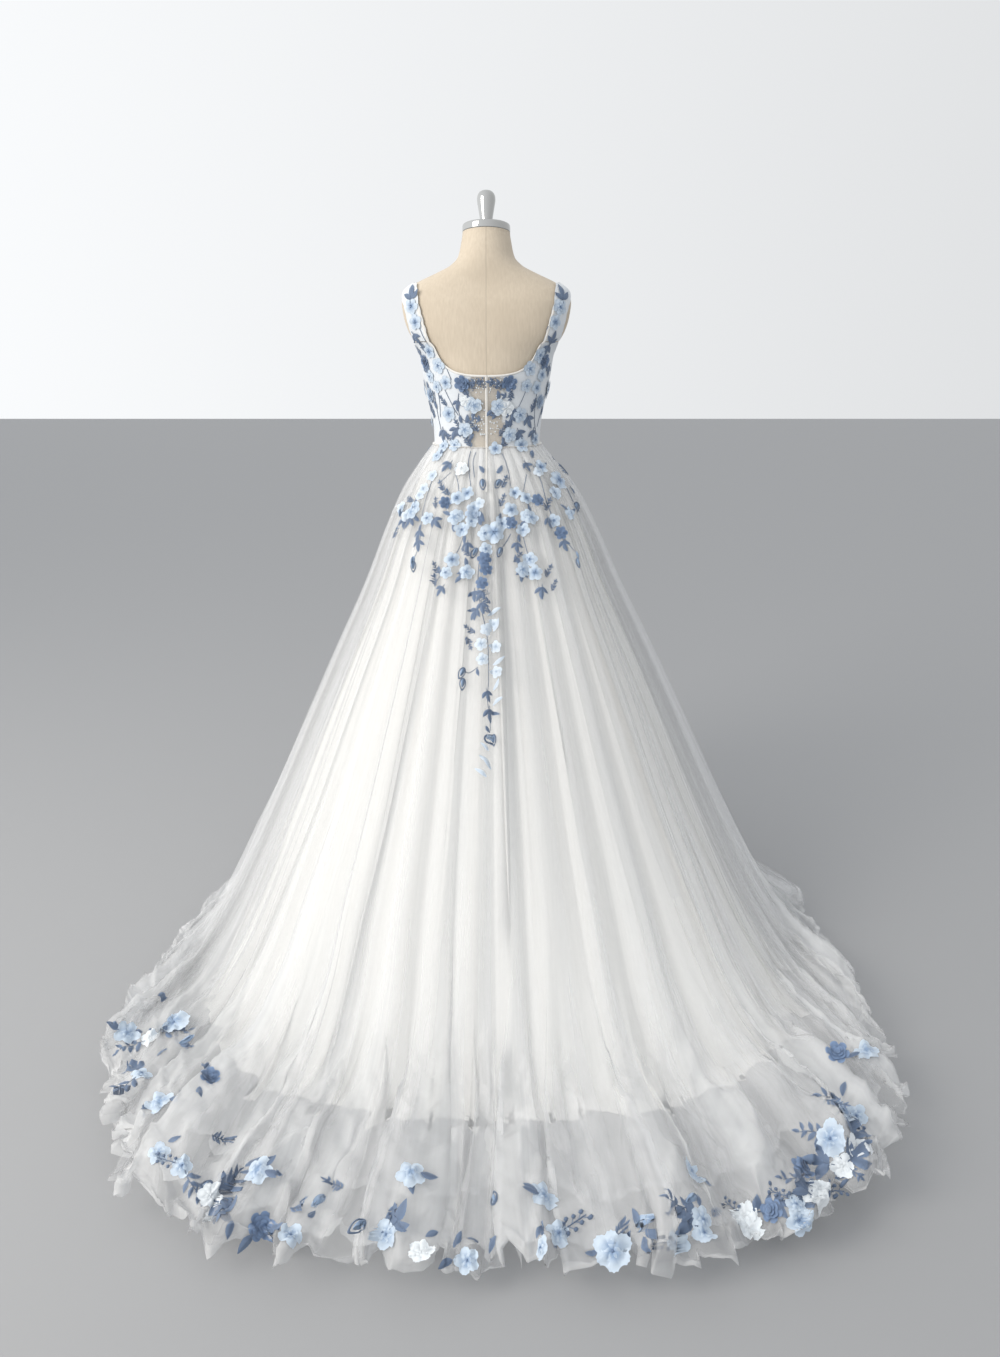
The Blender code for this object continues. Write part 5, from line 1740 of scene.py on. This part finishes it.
class DRESS_OT_make_flowers(bpy.types.Operator):
    """Sew the flowers, leaves and buds over the bodice, the skirt and the hem"""

    bl_idname = "dress.make_flowers"
    bl_label = "Make the flowers"

    def execute(self, context):
        settings = looks("dress_flowers")
        make_templates()
        cloth = all_cloth()
        works = {finish: bmesh.new() for finish in FINISHES}
        dice = random.Random(MOTIF_SEED)
        for kind, spots in BACK_MOTIFS.items():
            for x, height in spots:
                hit = cloth.seen_at((x, 0.0, height))
                if hit is None:
                    continue
                angle = dice.uniform(-2.6, 2.6)
                if kind in UPRIGHT:
                    angle = math.copysign(dice.uniform(0.2, 1.0), x) + dice.choice((0, 0, math.pi))
                if kind == "large_trio":
                    angle = dice.uniform(-0.2, 0.2)
                if kind == "small_trio":
                    angle = dice.choice((-1, 1)) * dice.uniform(1.0, 1.9)
                if kind in HANGING and height < 1.2:
                    angle = math.pi + dice.uniform(-0.6, 0.6)
                sew_kind(works, cloth, kind, hit[0], hit[1], angle, dice)
        for kind, spots in HEM_MOTIFS.items():
            for x, y in spots:
                hit = cloth.seen_at((x, y, 0.03))
                if hit is None:
                    continue
                angle = dice.uniform(-3.1, 3.1)
                sew_flat(works, cloth, kind, hit[0], hit[1], angle, dice)
                if "flower" in kind:
                    self.branches(works, cloth, hit, angle, dice)
        self.front_bands(works, cloth, dice)
        self.thick_flowers(works, cloth, dice)
        self.pearls(works, cloth, dice)
        sew_stems(works, cloth)
        colors = {
            "pale": (settings.pale, settings.middle),
            "white": (settings.white, [value * 0.82 for value in settings.white]),
            "faint": (
                blend_colors(settings.pale, settings.white, 0.6, 0.4),
                blend_colors(settings.pale, settings.middle, 0.8, 0.2),
            ),
            "dark": ([value * 1.7 for value in settings.dark], settings.dark),
            "leaf": ([value * 1.45 for value in settings.leaf], settings.leaf),
        }
        nodes = [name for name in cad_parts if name.startswith("flower_")]
        for finish in FINISHES:
            rim, heart = colors[finish]
            thread = stitched_material("stitched_" + finish, rim, heart)
            piece = finish_motifs("motifs_" + finish, works[finish])
            keep(piece, thread, nodes if finish == "pale" else ())
        return {"FINISHED"}

    def branches(self, works, cloth, hit, angle, dice):
        """Leafy stalks that leave a flower of the hem, each its own way."""
        place, normal = hit
        for turn in dice.sample((0.4, 1.9, 3.2, 4.6), dice.choice((1, 2, 2))):
            way = angle + turn
            heading = Vector((math.sin(way), math.cos(way), 0.0))
            start = place + (heading - normal * heading.dot(normal)) * 0.012
            shape = dice.choice(("leaf_branch", "leaf_branch", "leaf_trio", "berry_sprig"))
            size = dice.uniform(0.022, 0.030) * (1.0 if shape == "leaf_branch" else 1.5)
            tip = start + heading * (size * 2.3)
            drop = cloth.first_hit(Vector((tip.x, tip.y, 0.5)), Vector((0, 0, -1)))
            if drop is not None and abs(drop[0].z - place.z) < 0.05:
                sew_on(works["leaf"], shape, cloth, start, normal, heading, size)

    def pearls(self, works, cloth, dice):
        """Small white beads on the bare net beside the zip."""
        for _ in range(110):
            spot = (dice.uniform(-0.036, 0.036), 0.0, dice.uniform(1.115, 1.238))
            if abs(spot[0]) < 0.006:
                continue
            hit = cloth.seen_at(spot)
            if hit is not None:
                size = dice.uniform(0.0012, 0.0022)
                sew_on(
                    works["white"], "berry", cloth, hit[0], hit[1], Vector((0, 0, 1)), size, 0.0006
                )

    def front_bands(self, works, cloth, dice):
        """The same kinds of motifs on the sides and the front, spread by the same seed."""
        for band in FRONT_BANDS:
            for turn in np.arange(*band.turns):
                angle = math.radians(turn + dice.uniform(-band.stray, band.stray))
                direction = Vector((math.sin(angle), math.cos(angle), 0))
                start = Vector((*band.line, dice.uniform(band.low, band.high))) + direction * 3
                hit = cloth.first_hit(start, -direction)
                if hit is None:
                    continue
                place, normal = cloth.soft_normal(hit[0], hit[1])
                kind = dice.choice(band.kinds)
                angle = dice.uniform(-band.swing, band.swing)
                sew_kind(works, cloth, kind, place, normal, angle, dice, band.scale)

    def thick_flowers(self, works, cloth, dice):
        """A full flower with leaves at the place of each solid one."""
        for name in sorted(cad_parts):
            if not name.startswith("flower_") or name in PLACED_BY_TABLE:
                continue
            low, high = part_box(name)
            middle = (low + high) / 2
            outward = Vector((middle.x, middle.y - (0.3 if "hem" in name else 0.0), 0.0))
            if name.startswith(("flower_hem_left", "flower_hem_right")):
                outward = Vector((0, 0, 1))
            outward.normalize()
            hit = cloth.first_hit(middle + outward * 0.2, -outward, 0.5)
            if hit is None:
                continue
            place, normal = cloth.soft_normal(hit[0], hit[1])
            dark = "disc" in name
            shape = "rose" if dark else "round_flower"
            work = works["dark" if dark else "pale"]
            angle = dice.uniform(-3, 3)
            size = 0.0180 * (1.35 if "hem" in name else 1.0)
            sew_on(work, shape, cloth, place, normal, heading_from(angle), size, 0.0016, 1.2)
            if dark:
                continue
            sew_on(
                work, "inner_flower", cloth, place, normal, heading_from(angle + 0.6),
                size * 0.6, 0.0030,
            )
            for turn in (1.9, 4.1):
                heading = heading_from(angle + turn)
                start = place + (heading - normal * heading.dot(normal)) * (size * 0.75)
                leaf = works["leaf"]
                sew_on(leaf, "broad_leaf", cloth, start, normal, heading, size * 1.2, 0.0010)


def sew_flat(works, cloth, kind, place, normal, angle, dice):
    """A motif on cloth that lies down: its heading runs round on the floor."""
    made = KINDS[kind]
    size = made.size * dice.uniform(1 - made.spread, 1 + made.spread) * 1.22
    heading = Vector((math.sin(angle), math.cos(angle), 0.0))
    sew_shape(works, cloth, made, place, normal, heading, size)
    if made.shape in ("round_flower", "full_flower"):
        turned = Vector((math.sin(angle + 0.6), math.cos(angle + 0.6), 0.0))
        inner = works[made.finish]
        sew_on(inner, "inner_flower", cloth, place, normal, turned, size * 0.55, 0.0024)
        heart = works["dark" if made.finish == "pale" else made.finish]
        sew_on(heart, "berry", cloth, place, normal, heading, size * 0.10, 0.0034)


def sew_stems(works, cloth):
    """The embroidered stems: narrow raised ribbons that follow the cloth."""
    work = works["leaf"]
    for stem in STEMS:
        places = []
        knots = np.array(stem)
        steps = np.linspace(0, len(knots) - 1, 14 * (len(knots) - 1) + 1)
        keys = np.arange(len(knots), dtype=float)
        xs = smooth_between(keys, knots[:, 0], steps)
        heights = smooth_between(keys, knots[:, 1], steps)
        for x, height in zip(xs, heights):
            aim = (Vector((x, 0.0, height)) - CAMERA_PLACE).normalized()
            hit = cloth.first_hit(CAMERA_PLACE, aim)
            if hit is not None:
                places.append((hit[0], hit[1]))
        if len(places) < 3:
            continue
        first = len(work.verts)
        bmesh.ops.create_grid(work, x_segments=2, y_segments=len(places) - 1, size=1)
        work.verts.ensure_lookup_table()
        for k, (place, normal) in enumerate(places):
            ahead = places[min(k + 1, len(places) - 1)][0] - places[max(k - 1, 0)][0]
            across = ahead.cross(normal)
            across = across.normalized() if across.length > 1e-9 else Vector((1, 0, 0))
            for side in (-1, 0, 1):
                vertex = work.verts[first + k * 3 + side + 1]
                lift = 0.0016 if side == 0 else 0.0009
                vertex.co = place + across * (side * STEM_WIDTH / 2) + normal * lift


class DRESS_OT_make_studio(bpy.types.Operator):
    """Lay the floor, hang the lights and place the camera"""

    bl_idname = "dress.make_studio"
    bl_label = "Make the studio"

    def execute(self, context):
        settings = looks("dress_studio")
        work = bmesh.new()
        bmesh.ops.create_grid(work, x_segments=1, y_segments=1, size=14)
        floor = linked_object("studio_floor", stored_mesh("studio_floor", work))
        refinish(floor, plain_material("matt floor", settings.floor, 0.75))
        world = bpy.data.worlds.new("studio")
        context.scene.world = world
        context.scene.view_settings.view_transform = "Standard"
        world.use_nodes = True
        tree = world.node_tree
        sky = tree.nodes["Background"]
        sky.inputs["Color"].default_value = (0.97, 0.985, 1.0, 1.0)
        aside = axes_of(tree, place_output(tree, "Generated"))["X"]
        fall_off = ranged(tree, aside, -1.0, 1.0, settings.room * 0.72, settings.room * 1.28)
        tree.links.new(fall_off, sky.inputs["Strength"])
        lamp = bpy.data.lights.new("window", "AREA")
        lamp.energy = settings.window_power
        lamp.color = (1.0, 0.95, 0.88)
        lamp.shape = "RECTANGLE"
        lamp.size = 1.8
        lamp.size_y = 2.2
        window = linked_object("window", lamp)
        window.location = (3.0, 2.2, 2.5)
        aim = Vector((0, 0.2, 0.8)) - window.location
        window.rotation_euler = aim.to_track_quat("-Z", "Y").to_euler()
        camera_data = bpy.data.cameras.new("photo view")
        camera_data.lens = CAMERA_LENS
        camera_data.sensor_width = 36
        camera = linked_object("photo view", camera_data)
        camera.location = CAMERA_PLACE
        camera.rotation_euler = (math.pi / 2 - CAMERA_PITCH, 0, math.pi)
        context.scene.camera = camera
        return {"FINISHED"}


class DRESS_PT_panel(bpy.types.Panel):
    """Lists the pieces of the dress and their settings"""

    bl_label = "Dress"
    bl_idname = "DRESS_PT_panel"
    bl_space_type = "VIEW_3D"
    bl_region_type = "UI"
    bl_category = "Dress"

    def draw(self, context):
        for operator, group in STEPS:
            box = self.layout.box()
            box.operator(operator.bl_idname)
            if group:
                for name in group[1].__annotations__:
                    box.prop(getattr(context.scene, group[0]), name)


STEPS = (
    (DRESS_OT_make_form, ("dress_form", FormLooks)),
    (DRESS_OT_make_skirt, ("dress_skirt", SkirtLooks)),
    (DRESS_OT_make_bodice, ("dress_bodice", BodiceLooks)),
    (DRESS_OT_make_straps, None),
    (DRESS_OT_make_trims, None),
    (DRESS_OT_make_flowers, ("dress_flowers", FlowerLooks)),
    (DRESS_OT_make_studio, ("dress_studio", StudioLooks)),
)


def register():
    for operator, group in STEPS:
        bpy.utils.register_class(operator)
        if group:
            bpy.utils.register_class(group[1])
            setattr(bpy.types.Scene, group[0], PointerProperty(type=group[1]))
    bpy.utils.register_class(DRESS_PT_panel)


def unregister():
    bpy.utils.unregister_class(DRESS_PT_panel)
    for operator, group in reversed(STEPS):
        if group:
            delattr(bpy.types.Scene, group[0])
            bpy.utils.unregister_class(group[1])
        bpy.utils.unregister_class(operator)


def main():
    register()
    for operator, _ in STEPS:
        getattr(bpy.ops.dress, operator.bl_idname.split(".")[1])()


if __name__ == "__main__":
    main()
